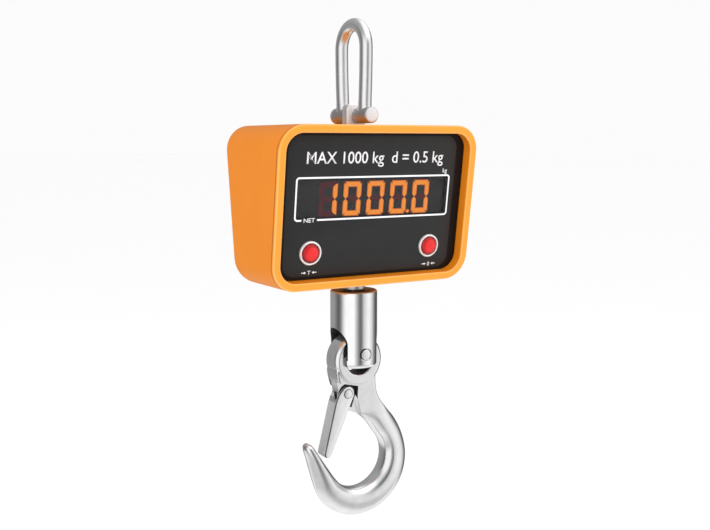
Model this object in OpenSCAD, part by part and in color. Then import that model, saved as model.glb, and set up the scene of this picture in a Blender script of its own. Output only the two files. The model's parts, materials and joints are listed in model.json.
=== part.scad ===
// Crane scale with a hanging shackle, a wedge-shaped indicator housing and a swivelling hook.
// Millimetres, +Z up, display towards -Y.  The origin is the point inside the crown of the
// shackle where the scale hangs from the crane.

/* [Shackle] */
// Diameter of the bar that the shackle is bent from
bar_d = 11; // [9:0.5:12]
// Height from the shackle pin up to the inside of the crown
pin_drop = 70.5; // [60:0.5:85]
// Radius of the crown, measured to the middle of the bar
crown_r = 18.5; // [17:0.5:20]
// Outer diameter of the two shackle eyes
shackle_eye_d = 13.7; // [12.5:0.1:14]
// Diameter of the shackle pin
shackle_pin_d = 9; // [8:0.5:10]
// Width of the flat lifting eye
lug_w = 18.6; // [16:0.2:20]
// Thickness of the flat lifting eye
lug_t = 8; // [6:0.5:10]
// Radius of the upper corners of the lifting tongue
lug_r = 5; // [3:0.5:8]
// Height of the lifting tongue over the pin's axis
lug_rise = 9.8; // [8:0.1:11]

/* [Housing] */
// Width of the housing
body_w = 193; // [185:1:205]
// Height of the housing
body_h = 134.3; // [128:0.1:142]
// Corner radius of the housing outline
corner_r = 22; // [18:1:26]
// Tilt of the front and back faces
tilt = 7.5; // [5:0.5:9]
// Distance from the load line to the front rim at mid height
front_y = 41.9; // [40:0.5:46]
// Distance from the load line to the back edge at mid height
back_y = 46.5; // [44:0.5:52]
// Width of the rim around the front panel
rim_w = 6.9; // [5:0.1:9]
// Depth of the front panel behind the rim
recess = 9; // [7:0.5:10]
// Wall thickness of the housing
wall = 3.5; // [3:0.5:5]

/* [Front panel] */
// Width of the display window
window_w = 148; // [140:1:156]
// Height of the display window
window_h = 33.6; // [32:0.2:38]
// Height of the display window centre above the middle of the panel
window_v = 6.8; // [4:0.2:10]
// Height of one digit
digit_h = 30; // [26:0.5:31]
// Width of one digit
digit_w = 18.4; // [16:0.2:19]
// Distance from one digit to the next
digit_pitch = 22.6; // [22:0.2:24]
// Width of one segment of a digit
segment_w = 4.1; // [3:0.1:5]
// Distance from the middle of the panel to each push button
button_u = 59; // [50:1:64]
// Height of the push buttons below the middle of the panel
button_v = 38.1; // [34:0.5:42]
// Outer diameter of a push button bezel
bezel_d = 20.4; // [18:0.2:22]
// Diameter of a push button cap
cap_d = 15.6; // [13:0.2:16]
// Travel of a push button
button_travel = 1.5; // [1:0.1:2]

/* [Swivel] */
// Diameter of the swivel sleeve
sleeve_d = 41; // [40:0.5:44]
// Length of the swivel sleeve
sleeve_l = 67; // [66:1:74]
// Gap between the housing and the swivel sleeve
sleeve_gap = 7.5; // [6:0.1:11]
// Width of the slot in the swivel sleeve
slot_w = 28.6; // [27:0.2:30]
// Height from the clevis pin up to the top of the slot
slot_rise = 22.3; // [22:0.1:25]
// Diameter of the clevis pin
clevis_pin_d = 10; // [8:0.5:10]
// Diameter of the swivel stud
stud_d = 12; // [10:0.5:13]

/* [Hook] */
// Outer radius of the hook eye
eye_r = 23.6; // [22.5:0.1:24]
// Radius of the hole in the hook eye
eye_hole_r = 12; // [11:0.1:13]
// Thickness of the hook eye and neck
eye_t = 20.4; // [18:0.2:22]
// Radius of the bowl of the hook
bowl_r = 28.2; // [26:0.2:30]
// Height from the middle of the bowl up to the middle of the hook eye
bowl_drop = 89.5; // [86:0.5:92]
// Thickness of the hook at its widest place
hook_depth = 23; // [20:0.5:24]
// Opening angle of the safety latch
latch_open = 36; // [20:1:38]

/* [Hidden] */
$fn = 64;
slack = 0.05;      // radial play of a running fit
eps = 0.01;        // overlap that keeps a cut clean

// Heights along the load line
pin_z = -pin_drop;
crown_z = bar_d / 2 - crown_r;
top_gap = 1.6;                     // shackle eyes above the top of the housing
top_z = pin_z - shackle_eye_d / 2 - top_gap;
mid_z = top_z - body_h / 2;
bottom_z = top_z - body_h;
sleeve_top = bottom_z - sleeve_gap;
sleeve_bottom = sleeve_top - sleeve_l;
clevis_z = sleeve_bottom + 12.5;
eye_z = clevis_z - (eye_hole_r - clevis_pin_d / 2 - 2 * slack);
bowl_x = 2;
bowl_z = eye_z - bowl_drop;

// Shackle
eye_inner = 8;                     // inner face of each shackle eye
eye_outer = 26.6;                  // outer face of each shackle eye
head_t = 2.5;                      // head of the pin and its nut

// Housing
open_w = body_w - 2 * rim_w;
open_h = body_h / cos(tilt) - 2 * rim_w;
open_r = 15;
fit = 0.3;                         // play around the panel and the rear cover
panel_t = 3;
ledge = 5;                         // step that the panel and rear cover rest on
ledge_t = 3;
cover_t = 3;
gasket_t = 0.8;
boss_in = 7.5;                     // screw boss centre in from the opening's edge
boss_d = 9;
boss_l = 16;
screw_d = 4;
jack_d = 12;
jack_u = 60;                       // charging jack out from the load line
jack_v = 36;                       // and below the middle of the rear cover
top_hole_d = 26;
bottom_hole_d = 26;

// Electronics
window_t = 2;
digits = 5;
digit_u = 3;                       // middle of the row of digits
display_t = 8;
display_gap = 1.2;
board_t = 1.6;
board_w = 154;
board_h = 42;
main_w = 60;
main_h = 34;
main_place = [-14, -35];           // middle of the main board on the panel
barrel_d = 18.4;
barrel_l = 20;
bezel_t = 2.2;

// Load cell
cell_w = 50.8;
cell_h = 76;
cell_t = 25.4;
cell_z = mid_z;
thread_l = 20;                     // depth of the two threads
cell_top = cell_z + cell_h / 2 - thread_l;
plate_t = 6;
plate_u = 40;                      // mounting screws out from the load line
post_l = 8;                        // posts that carry the mounting plate
shank_d = 16;

// Swivel
web_t = 11.4;                      // top of the sleeve that rests on the bearing
bearing_d = 26;
bearing_t = 9;
race_t = 2.6;
collar_d = 19.6;
nut_af = 19;
nut_t = 9;

// Hook and latch
tongue_t = 10.4;                   // neck between the latch flanges
pivot = [-9.9, eye_z - 29.4];
pivot_r = 7;
latch_tip = [-30.4, eye_z - 82.2];
latch_t = 1.5;
latch_in = tongue_t / 2 + 0.3;     // inner face of each latch flange
latch_pin_d = 5;
spring_r = 3.3;
spring_wire = 0.9;
spring_room = 5.2;                 // slot in the neck that holds the spring

// ---------- shared shapes ----------

// Rounded rectangle with exact arcs
module rounded_rect(w, h, r) {
    square([w - 2 * r, h], center = true);
    square([w, h - 2 * r], center = true);
    for (x = [-1, 1], y = [-1, 1])
        translate([x * (w / 2 - r), y * (h / 2 - r)]) circle(r);
}

// Tube along Y
module y_cylinder(d, from, to) {
    translate([0, to, 0]) rotate([90, 0, 0]) cylinder(d = d, h = to - from);
}

// Frame of the front rim: X to the right, Y up the panel, Z out of the panel
module at_front() {
    translate([0, -front_y, mid_z]) rotate([90 + tilt, 0, 0]) children();
}

// Frame of the front panel's face
module at_panel() {
    at_front() translate([0, 0, -recess]) children();
}

// Frame of the back edge: Y up the rear cover, Z out of it
module at_back() {
    translate([0, back_y, mid_z]) rotate([90 + tilt, 0, 180]) children();
}

// Closed skin over a list of rings that all have the same number of points
module skin(rings) {
    n = len(rings[0]);
    m = len(rings);
    points = [for (ring = rings) for (p = ring) p];
    sides = [for (i = [0 : m - 2], j = [0 : n - 1])
        [i * n + j, i * n + (j + 1) % n, (i + 1) * n + (j + 1) % n, (i + 1) * n + j]];
    first = [for (j = [0 : n - 1]) n - 1 - j];
    last = [for (j = [0 : n - 1]) (m - 1) * n + j];
    polyhedron(points, concat(sides, [first], [last]), convexity = 6);
}

// Round wire ring of radius r about a point, square to the direction t, kept upright by side
function wire_ring(p, t, side, r, n) =
    let (a = side / norm(side), b = cross(t / norm(t), a))
    [for (j = [0 : n - 1]) p + r * (cos(360 * j / n) * a + sin(360 * j / n) * b)];

// Coil spring along Z from z = 0, with closed ends
module coil(coil_r, wire_r, turns, height) {
    steps = 14;
    n = turns * steps;
    skin([for (i = [0 : n])
        let (a = 360 * i / steps, out = [cos(a), sin(a), 0])
        wire_ring([coil_r * out[0], coil_r * out[1], height * i / n],
                  [-sin(a), cos(a), 0], out, wire_r, 6)]);
}

// ---------- shackle ----------

module shackle() color("silver") difference() {
    union() {
        translate([0, 0, crown_z]) rotate([90, 0, 90])
            rotate_extrude(angle = 180) translate([crown_r, 0]) circle(d = bar_d);
        for (side = [-1, 1]) translate([0, side * crown_r, pin_z])
            cylinder(d = bar_d, h = crown_z - pin_z);
        for (side = [0, 180]) rotate([0, 0, side])
            translate([0, 0, pin_z]) y_cylinder(shackle_eye_d, eye_inner, eye_outer);
    }
    translate([0, 0, pin_z]) y_cylinder(shackle_pin_d + 2 * slack, -30, 30);
}

module shackle_pin() color("gainsboro") translate([0, 0, pin_z]) {
    y_cylinder(shackle_pin_d, -eye_outer - eps, eye_outer + 1.5);
    translate([0, -eye_outer, 0]) rotate([90, 0, 0]) {
        cylinder(d = shackle_eye_d, h = head_t - 0.8);
        translate([0, 0, head_t - 0.8])
            cylinder(d1 = shackle_eye_d, d2 = shackle_eye_d - 1.6, h = 0.8);
    }
}

module shackle_pin_nut() color("gainsboro") translate([0, eye_outer, pin_z]) rotate([-90, 0, 0])
    difference() {
        union() {
            cylinder(d = shackle_eye_d, h = head_t - 0.8);
            translate([0, 0, head_t - 0.8])
                cylinder(d1 = shackle_eye_d, d2 = shackle_eye_d - 1.6, h = 0.8);
        }
        translate([0, 0, -eps]) cylinder(d = shackle_pin_d, h = head_t + 1);
        for (side = [-1, 1]) translate([side * 5.6, 0, 1]) cylinder(d = 1.6, h = 3, $fn = 24);
    }

// ---------- housing ----------

// Wedge between the front and the back faces, each moved in by its own distance
module side_wedge(front_in, back_in) {
    half = body_h;
    spread = half * tan(tilt);
    front = front_y - front_in / cos(tilt);
    back = back_y - back_in / cos(tilt);
    translate([0, 0, mid_z]) rotate([90, 0, 90]) linear_extrude(body_w + 20, center = true)
        polygon([[-front - spread, half], [-front + spread, -half],
                 [back - spread, -half], [back + spread, half]]);
}

module outline_prism(w, h, r) {
    translate([0, 0, mid_z]) rotate([90, 0, 0])
        linear_extrude(4 * back_y, center = true) rounded_rect(w, h, r);
}

module boss_places() {
    for (x = [-1, 1], y = [-1, 1])
        translate([x * (open_w / 2 - boss_in), y * (open_h / 2 - boss_in), 0]) children();
}

module housing_shell() color("darkorange") difference() {
    union() {
        difference() {
            intersection() {
                outline_prism(body_w, body_h, corner_r);
                side_wedge(0, 0);
            }
            intersection() {
                outline_prism(body_w - 2 * wall, body_h - 2 * wall, corner_r - wall);
                side_wedge(recess + panel_t + ledge_t, cover_t + gasket_t + ledge_t);
            }
        }
        at_back() boss_places()
            translate([0, 0, -cover_t - gasket_t - boss_l]) cylinder(d = boss_d, h = boss_l, $fn = 32);
        for (x = [-1, 1]) translate([x * plate_u, 0, top_z - wall - post_l])
            cylinder(d = 10, h = post_l + eps, $fn = 32);
    }
    // recess and ledge of the front panel
    at_panel() {
        translate([0, 0, -panel_t]) linear_extrude(panel_t + recess + 5)
            rounded_rect(open_w, open_h, open_r);
        translate([0, 0, -panel_t - ledge_t - 2]) linear_extrude(ledge_t + 3)
            rounded_rect(open_w - 2 * ledge, open_h - 2 * ledge, open_r - ledge);
    }
    // recess of the rear cover, with its opening inside the screw bosses
    at_back() {
        translate([0, 0, -cover_t - gasket_t]) linear_extrude(cover_t + gasket_t + 5)
            rounded_rect(open_w, open_h, open_r);
        translate([0, 0, -cover_t - gasket_t - ledge_t - 2]) linear_extrude(ledge_t + 3)
            rounded_rect(open_w - 4 * boss_in, open_h - 2 * ledge, 5);
        translate([0, 0, -cover_t - gasket_t - ledge_t - 2]) linear_extrude(ledge_t + 3)
            rounded_rect(open_w - 2 * ledge, open_h - 4 * boss_in, 5);
        boss_places() translate([0, 0, -cover_t - gasket_t - 12])
            cylinder(d = screw_d, h = 20, $fn = 24);
    }
    translate([0, 0, top_z - wall - 1]) cylinder(d = top_hole_d, h = wall + 2);
    translate([0, 0, bottom_z - 1]) cylinder(d = bottom_hole_d, h = wall + 2);
    for (x = [-1, 1]) translate([x * plate_u, 0, top_z - wall - post_l - 1])
        cylinder(d = screw_d, h = post_l + 1.5, $fn = 24);
}

module top_seal() color("dimgray") translate([0, 0, top_z - wall]) difference() {
    cylinder(d = top_hole_d, h = wall);
    translate([0, 0, -1]) cylinder(d = lug_w + 2.6, h = wall + 2);
}

module bottom_seal() color("dimgray") translate([0, 0, bottom_z]) difference() {
    cylinder(d = bottom_hole_d, h = wall);
    translate([0, 0, -1]) cylinder(d = collar_d + 1, h = wall + 2);
}

// ---------- load train inside the housing ----------

module lifting_eye() color("silver") difference() {
    union() {
        for (side = [-1, 1]) translate([side * (lug_w / 2 - lug_r), 0, pin_z + lug_rise - lug_r])
            y_cylinder(2 * lug_r, -lug_t / 2, lug_t / 2);
        translate([lug_r - lug_w / 2, -lug_t / 2, pin_z]) cube([lug_w - 2 * lug_r, lug_t, lug_rise]);
        translate([-lug_w / 2, -lug_t / 2, top_z - 8])
            cube([lug_w, lug_t, pin_z + lug_rise - lug_r - top_z + 8]);
        translate([0, 0, cell_top]) cylinder(d = shank_d, h = top_z - 7 - cell_top);
    }
    translate([0, 0, pin_z]) y_cylinder(shackle_pin_d + 2 * slack, -lug_t, lug_t);
}

module mounting_plate() color("slategray")
    translate([0, 0, top_z - wall - post_l - plate_t]) difference() {
        translate([-52, -15, 0]) cube([104, 30, plate_t]);
        translate([0, 0, -1]) cylinder(d = shank_d, h = plate_t + 2);
        for (x = [-1, 1]) translate([x * plate_u, 0, -1])
            cylinder(d = screw_d, h = plate_t + 2, $fn = 24);
    }

module mounting_screws() color("silver") for (x = [-1, 1])
    translate([x * plate_u, 0, top_z - wall - post_l - plate_t]) {
        cylinder(d = screw_d, h = plate_t + post_l);
        translate([0, 0, -3]) cylinder(d = 7.5, h = 3);
    }

// S-shaped bending beam with a threaded hole at each end
module load_cell() color("lightsteelblue") translate([0, 0, cell_z]) difference() {
    translate([-cell_w / 2, -cell_t / 2, -cell_h / 2]) cube([cell_w, cell_t, cell_h]);
    for (turn = [0, 180]) rotate([0, turn, 0]) {
        translate([-cell_w / 2 - 1, -cell_t, 18]) cube([cell_w - 9, 2 * cell_t, 2.5]);
        translate([0, 0, cell_h / 2 - thread_l]) cylinder(d = shank_d, h = thread_l + 1);
    }
    for (x = [-7, 7]) translate([x, 0, 0]) y_cylinder(16, -cell_t, cell_t);
    translate([-7, -cell_t, -4]) cube([14, 2 * cell_t, 8]);
}

module swivel_stud() color("silver") difference() {
    stud_body();
    split_pin_line(2.3);
}

module stud_body() {
    translate([0, 0, bottom_z + 12])
        cylinder(d = shank_d, h = cell_z - cell_h / 2 + thread_l - bottom_z - 12);
    translate([0, 0, sleeve_top + 0.6]) cylinder(d = collar_d, h = bottom_z + 12 - sleeve_top - 0.6);
    translate([0, 0, sleeve_top - web_t - bearing_t - nut_t - 2])
        cylinder(d = stud_d, h = web_t + bearing_t + nut_t + 3);
}

// ---------- swivel ----------

bearing_z = sleeve_top - web_t - 2 * slack;

module race(z) {
    translate([0, 0, z]) difference() {
        cylinder(d = bearing_d, h = race_t);
        translate([0, 0, -1]) cylinder(d = stud_d + 2 * slack, h = race_t + 2);
        translate([0, 0, race_t / 2]) children();
    }
}

module bearing_upper_race() color("silver") race(bearing_z + slack - race_t);

module bearing_lower_race() color("silver") race(bearing_z - bearing_t);

// Ball cage with its ring of balls
module bearing_cage() color("goldenrod") {
    ball_d = bearing_t - 2 * race_t - 0.3;
    middle = bearing_z - bearing_t / 2 - 0.1;
    translate([0, 0, middle - 0.75]) difference() {
        cylinder(d = bearing_d - 1, h = 1.5);
        translate([0, 0, -1]) cylinder(d = stud_d + 1, h = 4);
    }
    for (i = [0 : 9]) rotate([0, 0, 36 * i])
        translate([(bearing_d + stud_d) / 4, 0, middle]) sphere(d = ball_d, $fn = 16);
}

module stud_nut() color("silver") translate([0, 0, bearing_z - bearing_t - nut_t]) difference() {
    cylinder(d = nut_af / cos(30), h = nut_t, $fn = 6);
    translate([0, 0, -1]) cylinder(d = stud_d, h = nut_t + 2);
    for (turn = [0 : 60 : 120]) rotate([0, 0, turn + 30])
        translate([-nut_af, -1.3, -1]) cube([2 * nut_af, 2.6, 3.6]);
}

module split_pin_line(d) {
    translate([0, 0, bearing_z - bearing_t - nut_t + 1.3]) rotate([0, 0, 30]) rotate([0, 90, 0])
        cylinder(d = d, h = 23, center = true, $fn = 24);
}

module split_pin() color("gray") split_pin_line(2.2);

module swivel_sleeve() color("silver") difference() {
    union() {
        translate([0, 0, sleeve_bottom + 3]) cylinder(d = sleeve_d, h = sleeve_l - 4);
        translate([0, 0, sleeve_bottom]) cylinder(d1 = sleeve_d - 5, d2 = sleeve_d, h = 3);
        translate([0, 0, sleeve_top - 1]) cylinder(d1 = sleeve_d, d2 = sleeve_d - 2, h = 1);
    }
    // arched slot
    translate([0, 0, clevis_z + slot_rise - slot_w / 2]) rotate([0, 90, 0])
        cylinder(d = slot_w, h = 2 * sleeve_d, center = true);
    translate([-sleeve_d, -slot_w / 2, sleeve_bottom - 1])
        cube([2 * sleeve_d, slot_w, clevis_z + slot_rise - slot_w / 2 - sleeve_bottom + 1]);
    // bearing pocket and stud hole
    translate([0, 0, sleeve_top - web_t - 30]) cylinder(d = bearing_d + 1.4, h = 30);
    translate([0, 0, sleeve_top - web_t - 1]) cylinder(d = stud_d + 2 * slack, h = web_t + 2);
    // clevis pin hole with a wider mouth at each end
    translate([0, 0, clevis_z]) {
        y_cylinder(clevis_pin_d, -sleeve_d, sleeve_d);
        for (side = [0, 180]) rotate([0, 0, side])
            y_cylinder(clevis_pin_d + 1.8, sleeve_d / 2 - 2.2, sleeve_d);
    }
}

module clevis_pin() color("gainsboro") translate([0, 0, clevis_z])
    y_cylinder(clevis_pin_d, -sleeve_d / 2 - 0.8, sleeve_d / 2 + 0.8);

// ---------- front panel and electronics ----------

module front_panel() color([0.17, 0.18, 0.19]) at_panel() translate([0, 0, -panel_t]) difference() {
    linear_extrude(panel_t) rounded_rect(open_w - 2 * fit, open_h - 2 * fit, open_r - fit);
    translate([0, window_v, -1]) linear_extrude(panel_t + 2) rounded_rect(window_w, window_h, 2.5);
    for (x = [-1, 1]) translate([x * button_u, -button_v, -1])
        cylinder(d = barrel_d + 2 * slack, h = panel_t + 2);
}

module panel_seal() color("black") at_panel() translate([0, 0, -panel_t - ledge_t]) {
    difference() {
        linear_extrude(ledge_t)
            rounded_rect(open_w - 2 * ledge - 0.4, open_h - 2 * ledge - 0.4, open_r - ledge);
        translate([0, 0, -1]) linear_extrude(ledge_t + 2)
            rounded_rect(open_w - 2 * ledge - 3, open_h - 2 * ledge - 3, open_r - ledge - 1.5);
    }
}

module display_window() color([0.2, 0.05, 0.05, 0.5]) at_panel()
    translate([0, window_v, -window_t]) linear_extrude(window_t)
        rounded_rect(window_w - 0.2, window_h - 0.2, 2.4);

display_z = -window_t - display_gap - display_t;

module display_block() color([0.1, 0.1, 0.11]) at_panel()
    translate([digit_u, window_v, display_z]) linear_extrude(display_t - 0.6)
        square([digits * digit_pitch + 2, window_h - 1], center = true);

// One straight segment with pointed ends, centred on the origin
module segment(length) {
    half = length / 2 - 0.3;
    w = segment_w / 2;
    polygon([[-half, 0], [-half + w, w], [half - w, w], [half, 0], [half - w, -w], [-half + w, -w]]);
}

// Segments a to g of one digit, switched by a list of flags
module digit(flags) {
    half_w = (digit_w - segment_w) / 2;
    half_h = (digit_h - segment_w) / 2;
    places = [[0, half_h, 0], [half_w, half_h / 2, 90], [half_w, -half_h / 2, 90], [0, -half_h, 0],
              [-half_w, -half_h / 2, 90], [-half_w, half_h / 2, 90], [0, 0, 0]];
    for (i = [0 : 6]) if (flags[i])
        translate([places[i][0], places[i][1]]) rotate(places[i][2])
            segment(places[i][2] == 0 ? 2 * half_w : half_h);
}

one = [false, true, true, false, false, false, false];
zero = [true, true, true, true, true, true, false];

module segments(lit) {
    at_panel() translate([digit_u, window_v, display_z + display_t - 0.6]) linear_extrude(0.6) {
        for (i = [0 : digits - 1]) translate([(i - (digits - 1) / 2) * digit_pitch, 0])
            digit([for (on = (i == 0 ? one : zero)) on == lit]);
        if (lit) translate([(digits - 2.97) / 2 * digit_pitch + digit_w / 2, -digit_h / 2 + 1.8])
            circle(d = 3.4, $fn = 24);
    }
}

module lit_segments() color("orange") segments(true);

module unlit_segments() color([0.35, 0.1, 0.12]) segments(false);

module display_board() color("darkgreen") at_panel()
    translate([0, window_v, display_z - board_t]) board(board_w, board_h);

module corner_places(w, h) {
    for (x = [-1, 1], y = [-1, 1]) translate([x * (w / 2 - 4), y * (h / 2 - 3), 0]) children();
}

// Corners of the display board and of the main board
module spacer_places() {
    translate([0, window_v, display_z]) corner_places(board_w, board_h) children();
    translate([main_place[0], main_place[1], display_z]) corner_places(main_w, main_h) children();
}

module board(w, h) {
    difference() {
        linear_extrude(board_t) square([w, h], center = true);
        corner_places(w, h) translate([0, 0, -1]) cylinder(d = 2.6, h = board_t + 2, $fn = 24);
    }
}

module board_spacers() color("goldenrod") at_panel() spacer_places() difference() {
    cylinder(d = 4.6, h = -display_z - panel_t, $fn = 24);
    translate([0, 0, -1]) cylinder(d = 2.4, h = -display_z - panel_t + 2, $fn = 24);
}

module board_screws() color("silver") at_panel() spacer_places() {
    translate([0, 0, -board_t - eps]) cylinder(d = 2.4, h = board_t + 5, $fn = 24);
    translate([0, 0, -board_t - 1.8]) cylinder(d = 4.6, h = 1.8, $fn = 24);
}

module main_board() color("darkgreen") at_panel()
    translate([main_place[0], main_place[1], display_z - board_t]) board(main_w, main_h);

// Barrel and bezel of a push button, hollow for the cap and its spring
module switch_body() {
    difference() {
        union() {
            translate([0, 0, -barrel_l]) cylinder(d = barrel_d, h = barrel_l);
            cylinder(d = bezel_d, h = bezel_t - 0.8);
            translate([0, 0, bezel_t - 0.8]) cylinder(d1 = bezel_d, d2 = bezel_d - 1.6, h = 0.8);
        }
        translate([0, 0, -barrel_l + 4]) cylinder(d = cap_d - 3.6, h = barrel_l + 5);
        translate([0, 0, -button_travel - 0.6]) cylinder(d = cap_d + 0.8, h = 10);
    }
    translate([0, 0, -barrel_l - 4]) cube([9, 2, 8], center = true);
}

module at_button(side) {
    at_panel() translate([side * button_u, -button_v, 0]) children();
}

module tare_switch() color("silver") at_button(-1) switch_body();

module zero_switch() color("silver") at_button(1) switch_body();

module switch_nuts() color("gray") for (side = [-1, 1]) at_button(side)
    translate([0, 0, -panel_t - 3]) difference() {
        cylinder(d = barrel_d + 6.6, h = 3, $fn = 6);
        translate([0, 0, -1]) cylinder(d = barrel_d, h = 5);
    }

// Domed cap on a stem that runs in the barrel
module button_cap() {
    stem_r = cap_d / 2 - 2.3;
    rotate_extrude() polygon(concat(
        [[0, -8], [stem_r, -8], [stem_r, 0], [cap_d / 2, 0], [cap_d / 2, 2.4]],
        [for (a = [15 : 15 : 90]) [cap_d / 2 * cos(a), 2.4 + 1.8 * sin(a)]]));
}

module tare_button() color("red") at_button(-1) button_cap();

module zero_button() color("red") at_button(1) button_cap();

module button_spring() translate([0, 0, -barrel_l + 4.6]) coil(3.6, 0.4, 4, barrel_l - 8 - 4.6 - 0.6);

module tare_spring() color("silver") at_button(-1) button_spring();

module zero_spring() color("silver") at_button(1) button_spring();

// Two round cells side by side in shrink wrap
module battery_pack() color("royalblue") translate([56, 18, mid_z - 24]) {
    for (x = [-9.5, 9.5]) translate([x, 0, 0]) cylinder(d = 18.6, h = 66);
    translate([-9.5, -9.3, 0]) cube([19, 18.6, 66]);
}

module battery_bracket() color("slategray") translate([56, 18, mid_z - 24]) difference() {
    translate([-21, -11, -3]) cube([42, 22, 30]);
    translate([-19, -9.6, 0]) cube([38, 19.2, 40]);
}

// ---------- rear ----------

module rear_cover() color("darkorange") at_back() translate([0, 0, -cover_t]) difference() {
    linear_extrude(cover_t) rounded_rect(open_w - 2 * fit, open_h - 2 * fit, open_r - fit);
    boss_places() translate([0, 0, -1]) cylinder(d = screw_d + 0.4, h = cover_t + 2, $fn = 24);
    translate([-jack_u, -jack_v, -1]) cylinder(d = jack_d, h = cover_t + 2);
}

module rear_gasket() color("black") at_back() translate([0, 0, -cover_t - gasket_t]) difference() {
    linear_extrude(gasket_t) rounded_rect(open_w - 1, open_h - 1, open_r - 0.5);
    translate([0, 0, -1]) linear_extrude(gasket_t + 2)
        rounded_rect(open_w - 2 * ledge - 0.5, open_h - 2 * ledge - 0.5, open_r - ledge);
    boss_places() translate([0, 0, -1]) cylinder(d = screw_d + 0.4, h = gasket_t + 2, $fn = 24);
}

module rear_screws() color("silver") at_back() boss_places() {
    translate([0, 0, -cover_t - gasket_t - 10])
        cylinder(d = screw_d, h = cover_t + gasket_t + 10, $fn = 24);
    cylinder(d = 7.6, h = 2.2, $fn = 32);
}

module charge_jack() color([0.15, 0.15, 0.15]) at_back() translate([-jack_u, -jack_v, 0]) difference() {
    union() {
        translate([0, 0, -14]) cylinder(d = jack_d, h = 14);
        cylinder(d = 16, h = 2);
    }
    translate([0, 0, -9]) cylinder(d = 5.5, h = 20);
}

module charge_jack_nut() color("silver") at_back()
    translate([-jack_u, -jack_v, -cover_t - 3]) difference() {
    cylinder(d = jack_d + 5, h = 3, $fn = 6);
    translate([0, 0, -1]) cylinder(d = jack_d, h = 5);
}

// ---------- hook ----------

// Middle of the outer arc of the hook and its radius
outer_r = bowl_r + 20.6;
outer_off = [3.2, -5];
arc_from = 46;
arc_to = -130;
arc_steps = 23;

function polar(r, a) = [r * cos(a), r * sin(a)];

// Inner and outer edge of the hook at each station, with the half depth there
arc_rows = [for (i = [0 : arc_steps])
    let (a = arc_from + (arc_to - arc_from) * i / arc_steps)
    [polar(bowl_r, a), outer_off + polar(outer_r, a - 3 * cos(a)), hook_depth / 2]];
neck_rows = [[[-4, 45], [20.5, 54], 9.6], [[5, 37.5], [28.5, 43], 10.2], [[13, 29.5], [35, 35.4], 11]];
tip_rows = [[[-20.9, -18.7], [-34.6, -35.6], 11.3], [[-23.5, -15.6], [-40.3, -25.6], 11],
            [[-26, -12.2], [-44.4, -13.6], 10.6], [[-31.5, -4], [-46.8, -4.4], 10],
            [[-37.3, 4.6], [-49.4, 5], 9.2], [[-41.5, 11.5], [-51.6, 11.6], 8.2],
            [[-44.6, 16.6], [-53, 16], 6.6], [[-47.2, 19], [-51, 19.2], 4]];
hook_rows = concat(neck_rows, arc_rows, tip_rows);

// Rounded section between an inner and an outer edge, fuller on the inner side
section_sides = 24;
function section(row) =
    let (mid = (row[0] + row[1]) / 2, across = (row[1] - row[0]) / 2)
    [for (j = [0 : section_sides - 1])
        let (a = 360 * j / section_sides,
             c = sign(cos(a)) * pow(abs(cos(a)), 0.75),
             s = sign(sin(a)) * pow(abs(sin(a)), 0.75),
             p = mid + across * c)
        [bowl_x + p[0], row[2] * s * (1 - 0.22 * c), bowl_z + p[1]]];

// Outline of the neck between the eye and the curved body, in X and Z
neck = [[-18.3, eye_z - 12], [-18.3, eye_z - 34], [-14, eye_z - 41], [-7, eye_z - 45.5],
        [3, eye_z - 47], [13, eye_z - 53], [26, eye_z - 46], [20.2, eye_z - 37],
        [18.2, eye_z - 31], [17.5, eye_z - 22], [17.5, eye_z - 8]];

// Line of the latch from its pivot to its tip, and the width at the tip's inner side
latch_len = norm(latch_tip - pivot);
along = (latch_tip - pivot) / latch_len;
across = [-along[1], along[0]];
tip_in = 3.4;

// Side pocket that the latch flange swings in, in X and Z
swing = atan2(along[1], along[0]) - atan((pivot_r - tip_in) / latch_len) + latch_open + 2;
wall_run = [cos(swing), sin(swing)];
pocket_r = pivot_r + 0.4;
wall_top = pivot + pocket_r * [-wall_run[1], wall_run[0]] + 4 * wall_run;
pocket = [[-40, pivot[1] + 15.9], pivot + [8.8, 6.5], wall_top, wall_top + 32 * wall_run,
          [-40, pivot[1] - 34]];

module xz_plate(from, to, points) {
    translate([0, to, 0]) rotate([90, 0, 0]) linear_extrude(to - from) polygon(points);
}

module hook() color("silver") difference() {
    union() {
        translate([0, 0, eye_z]) {
            y_cylinder(2 * eye_r, -eye_t / 2 + 2, eye_t / 2 - 2);
            for (side = [0, 180]) rotate([0, 0, side]) translate([0, eye_t / 2 - 2, 0])
                rotate([-90, 0, 0]) cylinder(r1 = eye_r, r2 = eye_r - 2, h = 2);
        }
        xz_plate(-eye_t / 2 + 0.6, eye_t / 2 - 0.6, neck);
        skin([for (row = hook_rows) section(row)]);
    }
    translate([0, 0, eye_z]) y_cylinder(2 * eye_hole_r, -eye_t, eye_t);
    for (side = [-1, 1])
        xz_plate(side > 0 ? tongue_t / 2 : -hook_depth, side > 0 ? hook_depth : -tongue_t / 2, pocket);
    translate([pivot[0], 0, pivot[1]]) {
        y_cylinder(latch_pin_d, -eye_t, eye_t);
        y_cylinder(9.4, -spring_room / 2, spring_room / 2);
        translate([-20, -spring_room / 2, -16]) cube([20 + spring_r + spring_wire / 2, spring_room, 16]);
    }
}

// Outline of a latch flange, in X and Z
module flange_outline() {
    translate(pivot) circle(pivot_r);
    polygon([pivot + across * pivot_r, latch_tip + across * tip_in, latch_tip + along * 2,
             latch_tip - across * 3.6, pivot + along * 10 - across * 9,
             pivot + along * 3 - across * 8.4, pivot - across * pivot_r]);
}

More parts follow.
